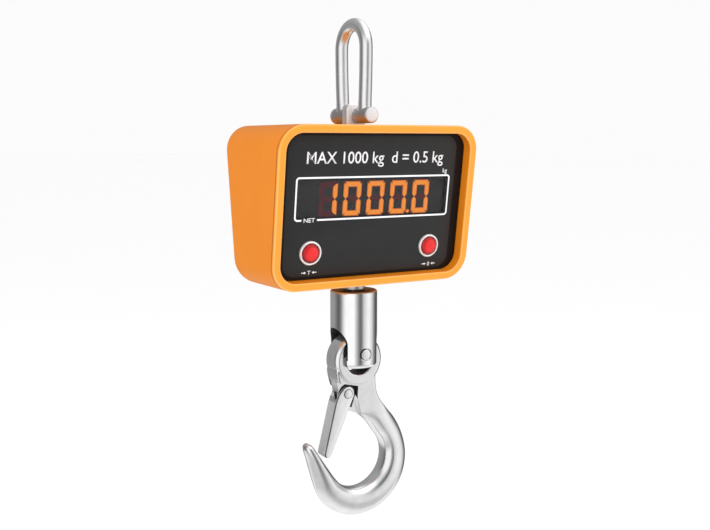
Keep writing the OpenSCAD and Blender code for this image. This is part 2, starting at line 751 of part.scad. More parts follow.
module latch() color("silver") difference() {
    union() {
        for (side = [0, 1]) mirror([0, side, 0])
            translate([0, latch_in + latch_t, 0]) rotate([90, 0, 0]) linear_extrude(latch_t)
                flange_outline();
        // outer web that joins the two flanges
        translate([0, latch_in + latch_t, 0]) rotate([90, 0, 0]) linear_extrude(2 * (latch_in + latch_t))
            polygon([pivot + along * 11 - across * 8.9, pivot + along * 11 - across * 7.3,
                     latch_tip - across * 2, latch_tip - across * 3.6]);
    }
    translate([pivot[0], 0, pivot[1]]) y_cylinder(latch_pin_d + 2 * slack, -eye_t, eye_t);
}

module latch_pin() color("gainsboro") translate([pivot[0], 0, pivot[1]])
    y_cylinder(latch_pin_d, -latch_in - latch_t - 0.9, latch_in + latch_t + 0.9);

// Torsion spring round the latch pin, with one leg on the neck and one on the latch web
module latch_spring() color("gray") translate([pivot[0], 1.9, pivot[1]]) rotate([90, 0, 0]) {
    steps = 14;
    turn = 3 * 360 + 140;
    n = 3 * steps + 5;
    end = [-sin(turn), cos(turn), 0];
    skin(concat(
        [for (y = [-7, -3.5]) wire_ring([spring_r, y, 0], [0, 1, 0], [1, 0, 0], spring_wire / 2, 6)],
        [for (i = [0 : n])
            let (a = turn * i / n, out = [cos(a), sin(a), 0])
            wire_ring([spring_r * out[0], spring_r * out[1], 3.8 * i / n],
                      [-sin(a), cos(a), 0], out, spring_wire / 2, 6)],
        [for (l = [5, 11.6])
            wire_ring([spring_r * cos(turn) + l * end[0], spring_r * sin(turn) + l * end[1], 3.8],
                      end, [cos(turn), sin(turn), 0], spring_wire / 2, 6)]));
}

// ---------- the assembly ----------

shackle();
shackle_pin();
shackle_pin_nut();
housing_shell();
top_seal();
bottom_seal();
lifting_eye();
mounting_plate();
mounting_screws();
load_cell();
swivel_stud();
stud_nut();
split_pin();
bearing_lower_race();
bearing_cage();
bearing_upper_race();
front_panel();
panel_seal();
display_window();
display_block();
lit_segments();
unlit_segments();
display_board();
board_spacers();
board_screws();
tare_switch();
zero_switch();
switch_nuts();
tare_button();
zero_button();
tare_spring();
zero_spring();
main_board();
battery_pack();
battery_bracket();
rear_cover();
rear_gasket();
rear_screws();
charge_jack();
charge_jack_nut();
swivel_sleeve();
clevis_pin();
hook();
latch();
latch_pin();
latch_spring();
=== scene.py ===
"""The looks of a hanging crane scale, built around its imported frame.

Lengths are in millimetres in the row frame and MM turns them into metres.  +Z runs up the load
line, the display faces -Y, and the origin is the point that the scale hangs from.
"""
import json
import math

import bmesh
import bpy
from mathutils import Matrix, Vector


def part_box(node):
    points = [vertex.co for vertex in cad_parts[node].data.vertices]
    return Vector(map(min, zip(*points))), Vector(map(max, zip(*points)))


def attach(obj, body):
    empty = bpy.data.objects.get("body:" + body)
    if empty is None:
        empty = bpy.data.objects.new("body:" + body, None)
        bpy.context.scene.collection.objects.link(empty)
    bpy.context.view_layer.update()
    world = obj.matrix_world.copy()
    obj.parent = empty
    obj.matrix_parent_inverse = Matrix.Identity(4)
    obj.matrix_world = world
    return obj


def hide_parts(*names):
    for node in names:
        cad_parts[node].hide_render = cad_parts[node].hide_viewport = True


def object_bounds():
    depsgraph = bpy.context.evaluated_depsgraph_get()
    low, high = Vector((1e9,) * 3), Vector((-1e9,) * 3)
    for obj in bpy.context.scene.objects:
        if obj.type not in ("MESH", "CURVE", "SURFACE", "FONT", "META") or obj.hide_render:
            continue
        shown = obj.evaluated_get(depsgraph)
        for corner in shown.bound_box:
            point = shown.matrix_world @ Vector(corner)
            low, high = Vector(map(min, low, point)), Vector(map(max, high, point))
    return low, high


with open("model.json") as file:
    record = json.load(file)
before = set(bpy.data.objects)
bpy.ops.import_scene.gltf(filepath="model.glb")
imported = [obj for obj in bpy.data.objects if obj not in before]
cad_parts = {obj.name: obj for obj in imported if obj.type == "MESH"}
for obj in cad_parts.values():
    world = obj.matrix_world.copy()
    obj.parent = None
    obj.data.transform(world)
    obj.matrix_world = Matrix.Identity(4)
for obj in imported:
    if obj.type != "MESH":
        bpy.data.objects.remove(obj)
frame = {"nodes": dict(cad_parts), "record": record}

MM = 0.001
cad_low, cad_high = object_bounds()

# ---------- places, from the frame ----------


def box(node):
    low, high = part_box(node)
    return Vector(low) / MM, Vector(high) / MM


def joint_place(name):
    for joint in frame["record"]["behaviour"]["joints"]:
        if joint["name"] == name:
            return Vector(joint["pos_m"]) / MM
    raise ValueError(name)


TILT = math.radians(7.5)
SIN, COS, TAN = math.sin(TILT), math.cos(TILT), math.tan(TILT)

shell_low, shell_high = box("housing_shell")
BODY_W = shell_high.x - shell_low.x
BODY_H = shell_high.z - shell_low.z
TOP_Z, BOTTOM_Z = shell_high.z, shell_low.z
MID_Z = (TOP_Z + BOTTOM_Z) / 2
FRONT_Y = -shell_low.y - BODY_H / 2 * TAN
BACK_Y = shell_high.y - BODY_H / 2 * TAN
CORNER_R = 22
RIM_W = 6.9
OPEN_W = BODY_W - 2 * RIM_W
OPEN_H = BODY_H / COS - 2 * RIM_W
OPEN_R = 15

PANEL_T = 3
PLAY = 0.3  # round the panel, the cover and the display in their openings
WINDOW_W, WINDOW_H, WINDOW_R, WINDOW_V = 148, 33.6, 2.5, 6.8
DIGIT_Z = -3.2
DIGIT_U, DIGIT_V = 2.7, 5.2
DIGIT_PITCH, DIGIT_W, DIGIT_H, SEGMENT_W = 22.95, 17.4, 29.0, 4.7
BUTTON_U, BUTTON_V = 59, -38.1

ACROSS = Vector((1, 0, 0))
BACKWARD = Vector((0, 1, 0))
UP = Vector((0, 0, 1))
ORIGIN = Vector((0, 0, 0))
PANEL_UP = Vector((0, -SIN, COS))
PANEL_OUT = Vector((0, -COS, -SIN))
PANEL_O = sum(box("front_panel"), Vector()) / 2 + PANEL_OUT * PANEL_T / 2
BACK_ACROSS = Vector((-1, 0, 0))
BACK_UP = Vector((0, SIN, COS))
BACK_OUT = Vector((0, COS, -SIN))
BACK_O = Vector((0, BACK_Y, MID_Z))

PIN_Z = joint_place("shackle_hinge").z
CLEVIS_Z = joint_place("hook_hinge").z
PIVOT = joint_place("latch_hinge")


def on_panel(u, v, out=0.0):
    return PANEL_O + ACROSS * u + PANEL_UP * v + PANEL_OUT * out


def on_back(u, v, out=0.0):
    return BACK_O + BACK_ACROSS * u + BACK_UP * v + BACK_OUT * out


# ---------- camera, light and floor ----------

CAMERA_AT = Vector((-0.4463, -0.7270, -0.0937))
CAMERA_LOOK = Vector((0.5203, 0.8450, -0.1228))
FLOOR_Z = cad_low.z - 0.35
AMBIENT, BACKDROP = 0.86, 0.97
scene = bpy.context.scene
scene.view_settings.view_transform = "Standard"


def add_camera():
    data = bpy.data.cameras.new("camera")
    data.lens = 50
    data.sensor_width = 36
    data.clip_start = 0.01
    camera = bpy.data.objects.new("camera", data)
    camera.location = CAMERA_AT
    camera.rotation_euler = CAMERA_LOOK.to_track_quat("-Z", "Y").to_euler()
    scene.collection.objects.link(camera)
    scene.camera = camera


def add_node(tree, kind, **inputs):
    """A shader node; each input is a value, or an output of another node to link it to."""
    node = tree.nodes.new("ShaderNode" + kind)
    for name, value in inputs.items():
        socket = node.inputs[name.replace("_", " ")]
        if isinstance(value, bpy.types.NodeSocket):
            tree.links.new(value, socket)
        else:
            socket.default_value = value
    return node


def add_softbox(name, place, target, size, energy):
    data = bpy.data.lights.new(name, "AREA")
    data.shape = "RECTANGLE"
    data.size, data.size_y = size
    data.energy = energy
    light = bpy.data.objects.new(name, data)
    light.location = Vector(place)
    light.visible_glossy = False
    light.rotation_euler = (Vector(target) - Vector(place)).to_track_quat("-Z", "Y").to_euler()
    scene.collection.objects.link(light)


# Studio walls as the gloss sees them: (turn in degrees round the load line, brightness)
STUDIO_BANDS = (
    (-180, 0.46), (-171, 0.78), (-161, 1.05), (-120, 1.1), (-110, 0.66), (-101, 0.38), (-91, 0.15),
    (-82, 0.17), (-71, 0.62), (-58, 0.86), (-42, 1.05), (-24, 0.8), (-6, 0.3), (15, 0.07), (38, 0.1),
    (58, 0.27), (99, 0.33), (124, 0.32), (139, 0.24), (152, 0.13), (166, 0.12), (176, 0.34),
)
# Brightness below the horizon, by height: towards the camera, and then beyond the scale
STUDIO_LOW = ((0.0, 1.05), (0.095, 0.87), (0.18, 0.62), (0.235, 0.52), (0.33, 0.88))
STUDIO_LOW_BACK = ((0.0, 1.0), (0.2, 0.96), (0.36, 0.3), (0.5, 0.28))
# Brightness overhead, at the back and left, and towards the front right
STUDIO_HIGH, STUDIO_HIGH_SIDE = 0.38, 1.5


def add_world():
    world = bpy.data.worlds.new("studio")
    world.use_nodes = True
    scene.world = world
    tree = world.node_tree
    tree.nodes.clear()
    link = tree.links.new

    def ramp(factor, stops, smooth="EASE"):
        node = add_node(tree, "ValToRGB", Fac=factor)
        node.color_ramp.interpolation = smooth
        for i, (place, value) in enumerate(stops):
            stop = node.color_ramp.elements[i] if i < 2 else node.color_ramp.elements.new(1)
            stop.position = place
            stop.color = (value, value, value, 1)
        return node.outputs["Color"]

    def mix(factor, first, second):
        node = add_node(tree, "Mix")
        node.data_type = "RGBA"
        link(factor, node.inputs["Factor"])
        for socket, value in (("A", first), ("B", second)):
            if isinstance(value, float):
                node.inputs[socket].default_value = (value, value, value, 1)
            else:
                link(value, node.inputs[socket])
        return node.outputs["Result"]

    def facing(direction, stops):
        """A ramp by how near a ray's direction is to another: 1 is along it, 0.5 is across it."""
        dot = add_node(tree, "VectorMath")
        dot.operation = "DOT_PRODUCT"
        dot.inputs[1].default_value = Vector(direction).normalized() / 2
        link(coord, dot.inputs[0])
        shift = add_node(tree, "Math")
        shift.inputs[1].default_value = 0.5
        link(dot.outputs["Value"], shift.inputs[0])
        return ramp(shift.outputs["Value"], stops)

    coord = add_node(tree, "TexCoord").outputs["Generated"]
    turn = add_node(tree, "TexGradient", Vector=coord)
    turn.gradient_type = "RADIAL"
    bands = [(angle / 360 + 0.5, value) for angle, value in STUDIO_BANDS]
    walls = ramp(turn.outputs["Fac"], bands, "LINEAR")
    height = add_node(tree, "SeparateXYZ", Vector=coord).outputs["Z"]
    level = add_node(tree, "MapRange", From_Min=-1, Value=height).outputs["Result"]
    upper = ramp(level, ((0.65, 0), (0.87, 1)))
    lower = ramp(level, ((0.2, 1), (0.31, 0)))
    overhead = facing((0.75, -0.45, 0.35), ((0.5, STUDIO_HIGH), (0.85, STUDIO_HIGH_SIDE)))
    behind = facing((0.52, 0.845, -0.2), ((0.5, 0), (0.7, 1)))
    floor = mix(behind, ramp(level, STUDIO_LOW), ramp(level, STUDIO_LOW_BACK))
    gloss = mix(lower, mix(upper, walls, overhead), floor)
    path = add_node(tree, "LightPath")
    seen = mix(path.outputs["Is Glossy Ray"], AMBIENT, gloss)
    seen = mix(path.outputs["Is Camera Ray"], seen, BACKDROP)
    studio = add_node(tree, "Background", Color=seen)
    add_node(tree, "OutputWorld", Surface=studio.outputs["Background"])


# ---------- materials ----------


def surface(name, color, rough, metallic=0.0, mottle=0.06, mottle_mm=12.0, grain_mm=0.5, bump=0.1,
            stretch=(1, 1, 1), rough_vary=0.06, **sockets):
    """A principled surface whose colour, roughness and relief vary with noise through the solid."""
    mat = bpy.data.materials.new(name)
    mat.use_nodes = True
    tree = mat.node_tree
    link = tree.links.new
    shader = tree.nodes["Principled BSDF"]
    coord = add_node(tree, "TexCoord").outputs["Object"]
    mapped = add_node(tree, "Mapping", Scale=stretch, Vector=coord).outputs["Vector"]
    broad = add_node(tree, "TexNoise", Scale=1 / (mottle_mm * MM), Detail=4, Vector=coord).outputs["Fac"]
    fine = add_node(tree, "TexNoise", Scale=1 / (grain_mm * MM), Detail=3, Vector=mapped).outputs["Fac"]
    ramp = add_node(tree, "ValToRGB", Fac=broad)
    low, high = ramp.color_ramp.elements
    low.position, high.position = 0.3, 0.7
    low.color = [c * (1 - mottle) for c in color] + [1]
    high.color = [min(1, c * (1 + mottle)) for c in color] + [1]
    link(ramp.outputs["Color"], shader.inputs["Base Color"])
    low_rough = max(0.02, rough - rough_vary)
    spread = add_node(tree, "MapRange", To_Min=low_rough, To_Max=rough + rough_vary, Value=fine)
    link(spread.outputs["Result"], shader.inputs["Roughness"])
    relief = add_node(tree, "Bump", Strength=bump, Distance=0.05 * MM, Height=fine)
    link(relief.outputs["Normal"], shader.inputs["Normal"])
    shader.inputs["Metallic"].default_value = metallic
    for socket, value in sockets.items():
        shader.inputs[socket.replace("_", " ")].default_value = value
    return mat


def glow(name, color, edge, strength):
    """A lit surface whose colour wanders a little between two tones."""
    mat = surface(name, [c * 0.2 for c in color], 0.4, mottle=0.1, mottle_mm=2, Emission_Strength=strength)
    tree = mat.node_tree
    broad = next(n for n in tree.nodes if n.bl_idname == "ShaderNodeTexNoise")
    ramp = add_node(tree, "ValToRGB", Fac=broad.outputs["Fac"])
    ramp.color_ramp.elements[0].color = (*edge, 1)
    ramp.color_ramp.elements[1].color = (*color, 1)
    tree.links.new(ramp.outputs["Color"], tree.nodes["Principled BSDF"].inputs["Emission Color"])
    return mat


ORANGE_PEEL = {"mottle": 0.02, "mottle_mm": 40, "grain_mm": 0.9, "bump": 0.05}
PAINT = surface("orange_paint", (0.84, 0.252, 0.013), 0.36, **ORANGE_PEEL, rough_vary=0.05,
                Coat_Weight=0.05, Coat_Roughness=0.14, Specular_IOR_Level=0.16)
# Darker orange on the faces of the groove round the housing: painted shade in the groove
PAINT_GROOVE_SHADE = surface("painted_groove_shade", (0.5, 0.14, 0.008), 0.45, mottle=0.04, mottle_mm=20, grain_mm=0.9)
# Lighter, glossier orange for the rim's front face: painted light on the face that catches more light
PAINT_RIM_LIT = surface("painted_rim_light", (0.87, 0.305, 0.032), 0.34, **ORANGE_PEEL, rough_vary=0.05,
                    Specular_IOR_Level=0.3)
# Lighter orange on the rim's rounded edges: a painted highlight
PAINT_EDGE_HIGHLIGHT = surface("painted_edge_highlight", (0.98, 0.4, 0.085), 0.3, **ORANGE_PEEL, Coat_Weight=0.3,
                     Coat_Roughness=0.14)
POLISHED = surface("polished_steel", (0.9, 0.9, 0.91), 0.31, 1, mottle=0.02, grain_mm=1.2,
                   bump=0.01, rough_vary=0.03)
FACED = surface("faced_steel", (0.93, 0.93, 0.93), 0.34, 0.95, mottle=0.03, grain_mm=0.35,
                bump=0.25, stretch=(1, 0.15, 1), rough_vary=0.1)
BRUSHED = surface("brushed_steel", (0.95, 0.95, 0.96), 0.4, 0.8, mottle_mm=1.6, grain_mm=0.35, bump=0.3,
                  stretch=(1, 0.15, 1), rough_vary=0.1)
# Duller, darker steel of the shackle's bosses; it also paints shade on the sides of the bow pin's ends and on
# the sleeve's top edge
BOSS_STEEL_AND_SHADE = surface("boss_steel_and_painted_shade", (0.56, 0.56, 0.565), 0.48, 1, mottle=0.04, grain_mm=0.8, bump=0.08)
LUG = surface("lug_steel", (0.97, 0.97, 0.97), 0.3, 1, mottle=0.03, grain_mm=0.5, bump=0.05)
# Less metallic copy of the lug steel for the tongue's front face only: painted light, so that face looks
# bright
LUG_FACE_LIT = surface("lug_face_painted_light", (0.95, 0.95, 0.95), 0.35, 0.35, mottle=0.03, grain_mm=0.5, bump=0.05)
TURNED = surface("turned_steel", (0.92, 0.92, 0.92), 0.15, 1, mottle=0.03, grain_mm=1.5, bump=0.03,
                 stretch=(0.2, 0.2, 6), rough_vary=0.04)
FORGED = surface("forged_steel", (0.85, 0.85, 0.86), 0.21, 1, mottle=0.04, mottle_mm=9,
                 grain_mm=0.8, bump=0.1, rough_vary=0.06)
STAMPED = surface("stamped_steel", (0.82, 0.82, 0.82), 0.3, 0.7, mottle=0.04, mottle_mm=6,
                  grain_mm=0.5, bump=0.08, stretch=(1, 1, 0.2), rough_vary=0.05)
ZINC = surface("zinc_plate", (0.7, 0.71, 0.73), 0.35, 1, mottle=0.08, mottle_mm=5, grain_mm=0.4)
ALLOY = surface("machined_alloy", (0.75, 0.77, 0.8), 0.3, 1, mottle=0.04, grain_mm=0.6,
                stretch=(1, 1, 5))
BRASS = surface("brass", (0.75, 0.53, 0.2), 0.3, 1, mottle=0.06)
RUBBER = surface("rubber", (0.018, 0.018, 0.018), 0.75, mottle=0.2, mottle_mm=3, grain_mm=0.3, bump=0.3)
PANEL = surface("panel_film", (0.0145, 0.0142, 0.0142), 0.45, mottle=0.08, mottle_mm=15, grain_mm=0.25,
                bump=0.12, rough_vary=0.05, Specular_IOR_Level=0.38)
PRINT = surface("white_print", (0.82, 0.83, 0.85), 0.55, mottle=0.04, mottle_mm=2, grain_mm=0.3,
                bump=0.05)
BASE = surface("panel_base", (0.0035, 0.0028, 0.0028), 0.5, mottle=0.15, grain_mm=0.4, bump=0.1,
               Specular_IOR_Level=0.25)
BLACK = surface("black_plastic", (0.02, 0.02, 0.021), 0.45, mottle=0.1, grain_mm=0.4, bump=0.15)
WINDOW = surface("window", (0.012, 0.012, 0.014), 0.16, mottle=0.05, grain_mm=4, bump=0.01,
                 rough_vary=0.03, Alpha=0.16)
BOARD_FRONT = surface("black_board", (0.015, 0.017, 0.018), 0.5, mottle=0.2, mottle_mm=4, grain_mm=0.6)
BOARD = surface("green_board", (0.012, 0.1, 0.035), 0.4, mottle=0.25, mottle_mm=5, grain_mm=1)
WRAP = surface("battery_wrap", (0.02, 0.08, 0.38), 0.35, mottle=0.05, grain_mm=2)
BEZEL = surface("bezel_metal", (0.9, 0.9, 0.89), 0.25, 0.55, mottle=0.02, grain_mm=0.4, bump=0.04)
CAP = surface("red_cap", (0.68, 0.012, 0.014), 0.25, mottle=0.06, mottle_mm=5, grain_mm=1.5, bump=0.03,
              Coat_Weight=0.2, Coat_Roughness=0.1, Specular_IOR_Level=0.4)
# Deeper red on the caps' rounded edge: painted shade
CAP_EDGE_SHADE = surface("red_cap_painted_shade", (0.38, 0.006, 0.008), 0.3, mottle=0.06, mottle_mm=5, grain_mm=1.5,
                   bump=0.03)
SPRING = surface("spring_steel", (0.5, 0.5, 0.52), 0.3, 1, mottle=0.05)
LIT_CORE = glow("lit_core", (0.95, 0.33, 0.045), (0.9, 0.26, 0.03), 1.1)
LIT_EDGE = glow("lit_edge", (0.78, 0.17, 0.03), (0.7, 0.13, 0.02), 1)
# Unlit segments glow faintly: painted light, since these segments are not lit
UNLIT_GLOW = glow("unlit_segment", (0.1, 0.02, 0.024), (0.075, 0.015, 0.02), 0.9)
# Dark steel that paints shade inside the sleeve and the hook's eye bore, in the latch's bends and round the
# sides of pin and rivet heads
SHADE_STEEL = surface("painted_shade_steel", (0.1, 0.1, 0.1), 0.45, 0.8, mottle=0.2, mottle_mm=4, grain_mm=0.6)
# Near-black for the pocket gap by the latch's pivot: painted shade
GAP_SHADE = surface("painted_gap_shade", (0.012, 0.012, 0.012), 0.7, 0.2, mottle=0.2, mottle_mm=3, grain_mm=0.5)
# Grey lighter than the panel's black base, for the walls round the display window: painted light on walls
# that sit in shade
WINDOW_WALL_LIGHT = surface("window_wall_painted_light", (0.07, 0.07, 0.07), 0.6, mottle=0.08, mottle_mm=6, grain_mm=0.4)
MASK = surface("display_mask", (0.03, 0.031, 0.031), 0.5, mottle=0.1, mottle_mm=6, grain_mm=0.4)

# ---------- mesh tools ----------


def mesh_piece(name, verts, faces, mat, sharp=38):
    mesh = bpy.data.meshes.new(name)
    mesh.from_pydata([Vector(v) * MM for v in verts], [], faces)
    mesh.materials.append(mat)
    piece = bpy.data.objects.new(name, mesh)
    scene.collection.objects.link(piece)
    tidy_normals(piece, sharp)
    return piece


def tidy_normals(piece, sharp=38, weld=0):
    """Turns all faces outwards and shades them smooth up to an angle; weld joins points first."""
    mesh = piece.data
    bm = bmesh.new()
    bm.from_mesh(mesh)
    if weld:
        bmesh.ops.remove_doubles(bm, verts=bm.verts, dist=weld * MM)
    bmesh.ops.recalc_face_normals(bm, faces=bm.faces)
    bm.to_mesh(mesh)
    bm.free()
    mesh.shade_smooth()
    mesh.set_sharp_from_angle(angle=math.radians(sharp))


def skin(rings, loop=False, capped=True):
    """Vertices and faces of a closed skin over rings that all have the same number of points."""
    n, m = len(rings[0]), len(rings)
    verts = [p for ring in rings for p in ring]
    faces = [(i * n + j, i * n + (j + 1) % n, (i + 1) % m * n + (j + 1) % n, (i + 1) % m * n + j)
             for i in range(m if loop else m - 1) for j in range(n)]
    if capped and not loop:
        faces += [tuple(range(n))[::-1], tuple((m - 1) * n + j for j in range(n))]
    return verts, faces


def lathe(name, profile, at, axis, mat, sides=64, loop=False, sharp=38):
    """Turns (radius, distance along the axis) points round an axis."""
    axis = Vector(axis).normalized()
    side = axis.orthogonal().normalized()
    other = axis.cross(side)
    rings = []
    for radius, along in profile:
        rings.append([Vector(at) + axis * along + max(radius, 0.001) * (
            side * math.cos(math.tau * j / sides) + other * math.sin(math.tau * j / sides))
            for j in range(sides)])
    piece = mesh_piece(name, *skin(rings, loop), mat, sharp)
    if not loop:
        tidy_normals(piece, sharp, weld=0.003)
    return piece


def prism(name, outline, depth, mat, place):
    """A plate over an outline; place turns (a, b, depth) into a point in the row frame."""
    rings = [[place(a, b, d) for a, b in outline] for d in depth]
    return mesh_piece(name, *skin(rings), mat)


def drill(r, at, axis, mat, low=-9, high=9, sides=64):
    """A round cutting tool that runs from low to high along its axis."""
    return lathe("drill", [(0, low), (r, low), (r, high), (0, high)], at, axis, mat, sides)


def xz(x, z, y):
    return Vector((x, y, z))


def modify(piece, kind, **settings):
    modifier = piece.modifiers.new(kind, kind)
    for key, value in settings.items():
        setattr(modifier, key, value)
    graph = bpy.context.evaluated_depsgraph_get()
    mesh = bpy.data.meshes.new_from_object(piece.evaluated_get(graph))
    piece.modifiers.clear()
    piece.data = mesh


def soften(piece, width, segments, angle=35):
    """Rounds the edges of a piece that are sharper than an angle."""
    modify(piece, "BEVEL", width=width * MM, segments=segments, limit_method="ANGLE",
           angle_limit=math.radians(angle), use_clamp_overlap=True)
    tidy_normals(piece)


def cut(piece, *tools):
    """Takes each tool's solid away from a piece, and the tool with it."""
    for tool in tools:
        modify(piece, "BOOLEAN", operation="DIFFERENCE", object=tool, solver="EXACT")
        bpy.data.objects.remove(tool)
    while len(piece.data.materials) > 1:
        piece.data.materials.pop()
    tidy_normals(piece)


def fuse(name, parts, mat, voxel, rounds):
    """Melts overlapping closed parts into one forging with blended inner corners."""
    verts, faces = [], []
    for part_verts, part_faces in parts:
        faces += [tuple(i + len(verts) for i in face) for face in part_faces]
        verts += part_verts
    piece = mesh_piece(name, verts, faces, mat)
    modify(piece, "REMESH", mode="VOXEL", voxel_size=voxel * MM, use_smooth_shade=True)
    modify(piece, "SMOOTH", factor=0.5, iterations=rounds)
    piece.data.materials.clear()
    piece.data.materials.append(mat)
    piece.data.shade_smooth()
    return piece


def material_where(piece, mat, test):
    """Gives a second material to the faces whose middle and normal pass a test, mostly to lay painted light
    and shade on them.
    """
    piece.data.materials.append(mat)
    for face in piece.data.polygons:
        if test(face.center / MM, face.normal):
            face.material_index = len(piece.data.materials) - 1


def hand_over(piece, body, slot, *nodes):
    """Says what a piece rides on and which CAD nodes it stands for; the slot argument is not used."""
    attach(piece, body)
    if nodes:
        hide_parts(*nodes)


def rounded_rect(w, h, r, steps=10, straight=6):
    """Outline of a rounded rectangle, with points along its straight sides too."""
    points = []
    signs = ((1, 1), (-1, 1), (-1, -1), (1, -1), (1, 1))
    corners = [(sx * (w / 2 - r), sy * (h / 2 - r)) for sx, sy in signs]
    for turn in range(4):
        points += arc_points(r, corners[turn], [90 * turn + 90 * i / steps for i in range(steps + 1)])
        (au, av), (bu, bv) = points[-1], arc_points(r, corners[turn + 1], [90 * turn + 90])[0]
        points += [(au + (bu - au) * k / straight, av + (bv - av) * k / straight) for k in range(1, straight)]
    return points


def arc_points(r, at, angles):
    """Points round a centre, at angles in degrees."""
    return [(at[0] + r * math.cos(math.radians(a)), at[1] + r * math.sin(math.radians(a))) for a in angles]


def disc(r, steps, at=(0, 0)):
    return arc_points(r, at, [360 * i / steps for i in range(steps)])


# ---------- housing ----------

# Depths behind the rim's front: of its rounded edge, and of the groove round the housing
RIM_ROUND, GROOVE_FROM, GROOVE_TO = 1.9, 3.0, 4.6
FACING_OUT = 0.97
# Section of the front rim, from the recess over the front to the side: (inset, depth)
RIM_SECTION = ((6.9, 1.7), (6.78, 1.05), (6.4, 0.5), (5.8, 0.15), (5.0, 0.03), (3.4, 0), (2.0, 0.03),
               (1.25, 0.15), (0.6, 0.5), (0.18, 1.05), (0, 1.7), (0, GROOVE_FROM), (0.05, 3.2),
               (0.5, 3.5), (0.5, 4.0), (0.05, 4.3), (0, GROOVE_TO), (0, 9))


def shell_ring(inset, depth, back=False, square=False):
    """A ring of the housing: inset from the outline, depth behind the front or the back face."""
    if square:
        points = rounded_rect(OPEN_W, OPEN_H * COS, OPEN_R)
    else:
        points = rounded_rect(BODY_W - 2 * inset, BODY_H - 2 * inset, max(CORNER_R - inset, 2))
    way, face_y, out = (1, BACK_Y, BACK_OUT) if back else (-1, -FRONT_Y, PANEL_OUT)
    inwards = -out * depth if square else BACKWARD * (-way * depth / COS)
    return [Vector((x, face_y + way * z * TAN, z + MID_Z)) + inwards for x, z in points]


def add_housing():
    rings = [shell_ring(0, d, square=True) for d in (18, 8, 3.2)]
    rings += [shell_ring(inset, depth) for inset, depth in RIM_SECTION]
    round_r = 4.6
    rings.append(shell_ring(0, 12, back=True))
    for i in range(7):
        a = math.radians(90 * i / 6)
        rings.append(shell_ring(round_r * (1 - math.cos(a)), round_r * (1 - math.sin(a)), back=True))
    rings += [shell_ring(0, d, back=True, square=True) for d in (0.5, 1.5, 8, 18)]
    piece = mesh_piece("housing", *skin(rings, loop=True), PAINT, sharp=50)
    cut(piece, *[drill(13, UP * z, UP, PAINT, -6, 6) for z in (TOP_Z, BOTTOM_Z)])
    tidy_normals(piece, 50)

    def rim_depth(c):
        """Depth of a point behind the rim's front."""
        return (c.y + FRONT_Y + (c.z - MID_Z) * TAN) * COS

    # Painted highlight: the rim's rounded edges take a lighter orange
    material_where(piece, PAINT_EDGE_HIGHLIGHT, lambda c, n: 0 < rim_depth(c) < RIM_ROUND
                 and 0.25 < n.dot(PANEL_OUT) < FACING_OUT)
    # Painted light: the rim's front face takes a lighter orange than the sides
    material_where(piece, PAINT_RIM_LIT, lambda c, n: -0.2 < rim_depth(c) < RIM_ROUND
                 and n.dot(PANEL_OUT) >= FACING_OUT)
    # Painted shade: the groove's faces take a darker orange
    material_where(piece, PAINT_GROOVE_SHADE, lambda c, n: GROOVE_FROM < rim_depth(c) < GROOVE_TO
                 and abs(n.y) < 0.99)
    hand_over(piece, "housing", "housing_paint", "housing_shell")


def add_seals():
    for name, z, up, inner in (("top_grommet", TOP_Z, 1, 9.6), ("bottom_grommet", BOTTOM_Z, -1, 10.2)):
        profile = [(inner, -3.4), (12.95, -3.4), (12.95, 0), (13.6, 0.15), (13.6, 0.55), (13.2, 0.8),
                   (inner + 0.5, 0.9), (inner, 0.5)]
        piece = lathe(name, profile, UP * z, UP * up, PAINT if up > 0 else RUBBER, loop=True)
        hand_over(piece, "housing", "seal_rubber", name.replace("grommet", "seal"))


JACK_AT = (-60, -36)
COVER_SCREW_INSET = 7.5


def cover_corners():
    """Places of the cover's screws, and which diagonal each is on."""
    return [(on_back(u * (OPEN_W / 2 - COVER_SCREW_INSET), v * (OPEN_H / 2 - COVER_SCREW_INSET)), u * v)
            for u in (-1, 1) for v in (-1, 1)]


def add_cover():
    cover_t, edge = 3, 0.9
    rings = []
    for inset, depth in ((0, cover_t), (0, edge), (0.25, 0.3), (0.9, 0), (7, 0), (7.6, -0.5), (8.4, -0.7)):
        points = rounded_rect(OPEN_W - 2 * PLAY - 2 * inset, OPEN_H - 2 * PLAY - 2 * inset,
                              max(OPEN_R - PLAY - inset, 2))
        rings.append([on_back(u, v, -depth) for u, v in points])
    piece = mesh_piece("cover", *skin(rings), PAINT, sharp=50)
    holes = [drill(6.05, on_back(*JACK_AT), BACK_OUT, PAINT)]
    holes += [drill(2.2, at, BACK_OUT, PAINT, sides=32) for at, corner in cover_corners()]
    cut(piece, *holes)
    tidy_normals(piece, 50)
    hand_over(piece, "housing", "housing_paint", "rear_cover")


def add_rear_screws():
    """Pan heads with a cross slot, each left at its own turn."""
    profile = [(0, 2.45), (1.5, 2.42), (2.7, 2.15), (3.4, 1.6), (3.75, 0.8), (3.8, 0.05), (2, 0.0),
               (2, -13.5), (0, -13.5)]
    bar = [(-2.1, -0.45), (2.1, -0.45), (2.1, 0.45), (-2.1, 0.45)]
    parts = []
    for at, corner in cover_corners():
        screw = lathe("screw", profile, at, BACK_OUT, ZINC, 40)
        for turn in (20, 110):
            a = math.radians(turn + 25 * corner)
            c, s = math.cos(a), math.sin(a)
            cut(screw, prism("slot", [(c * p - s * q, s * p + c * q) for p, q in bar], (0.9, 4), ZINC,
                             lambda p, q, d, at=at: at + BACK_ACROSS * p + BACK_UP * q + BACK_OUT * d))
        parts.append(screw)
    hand_over(join("cover_screws", parts), "housing", "zinc", "rear_screws")


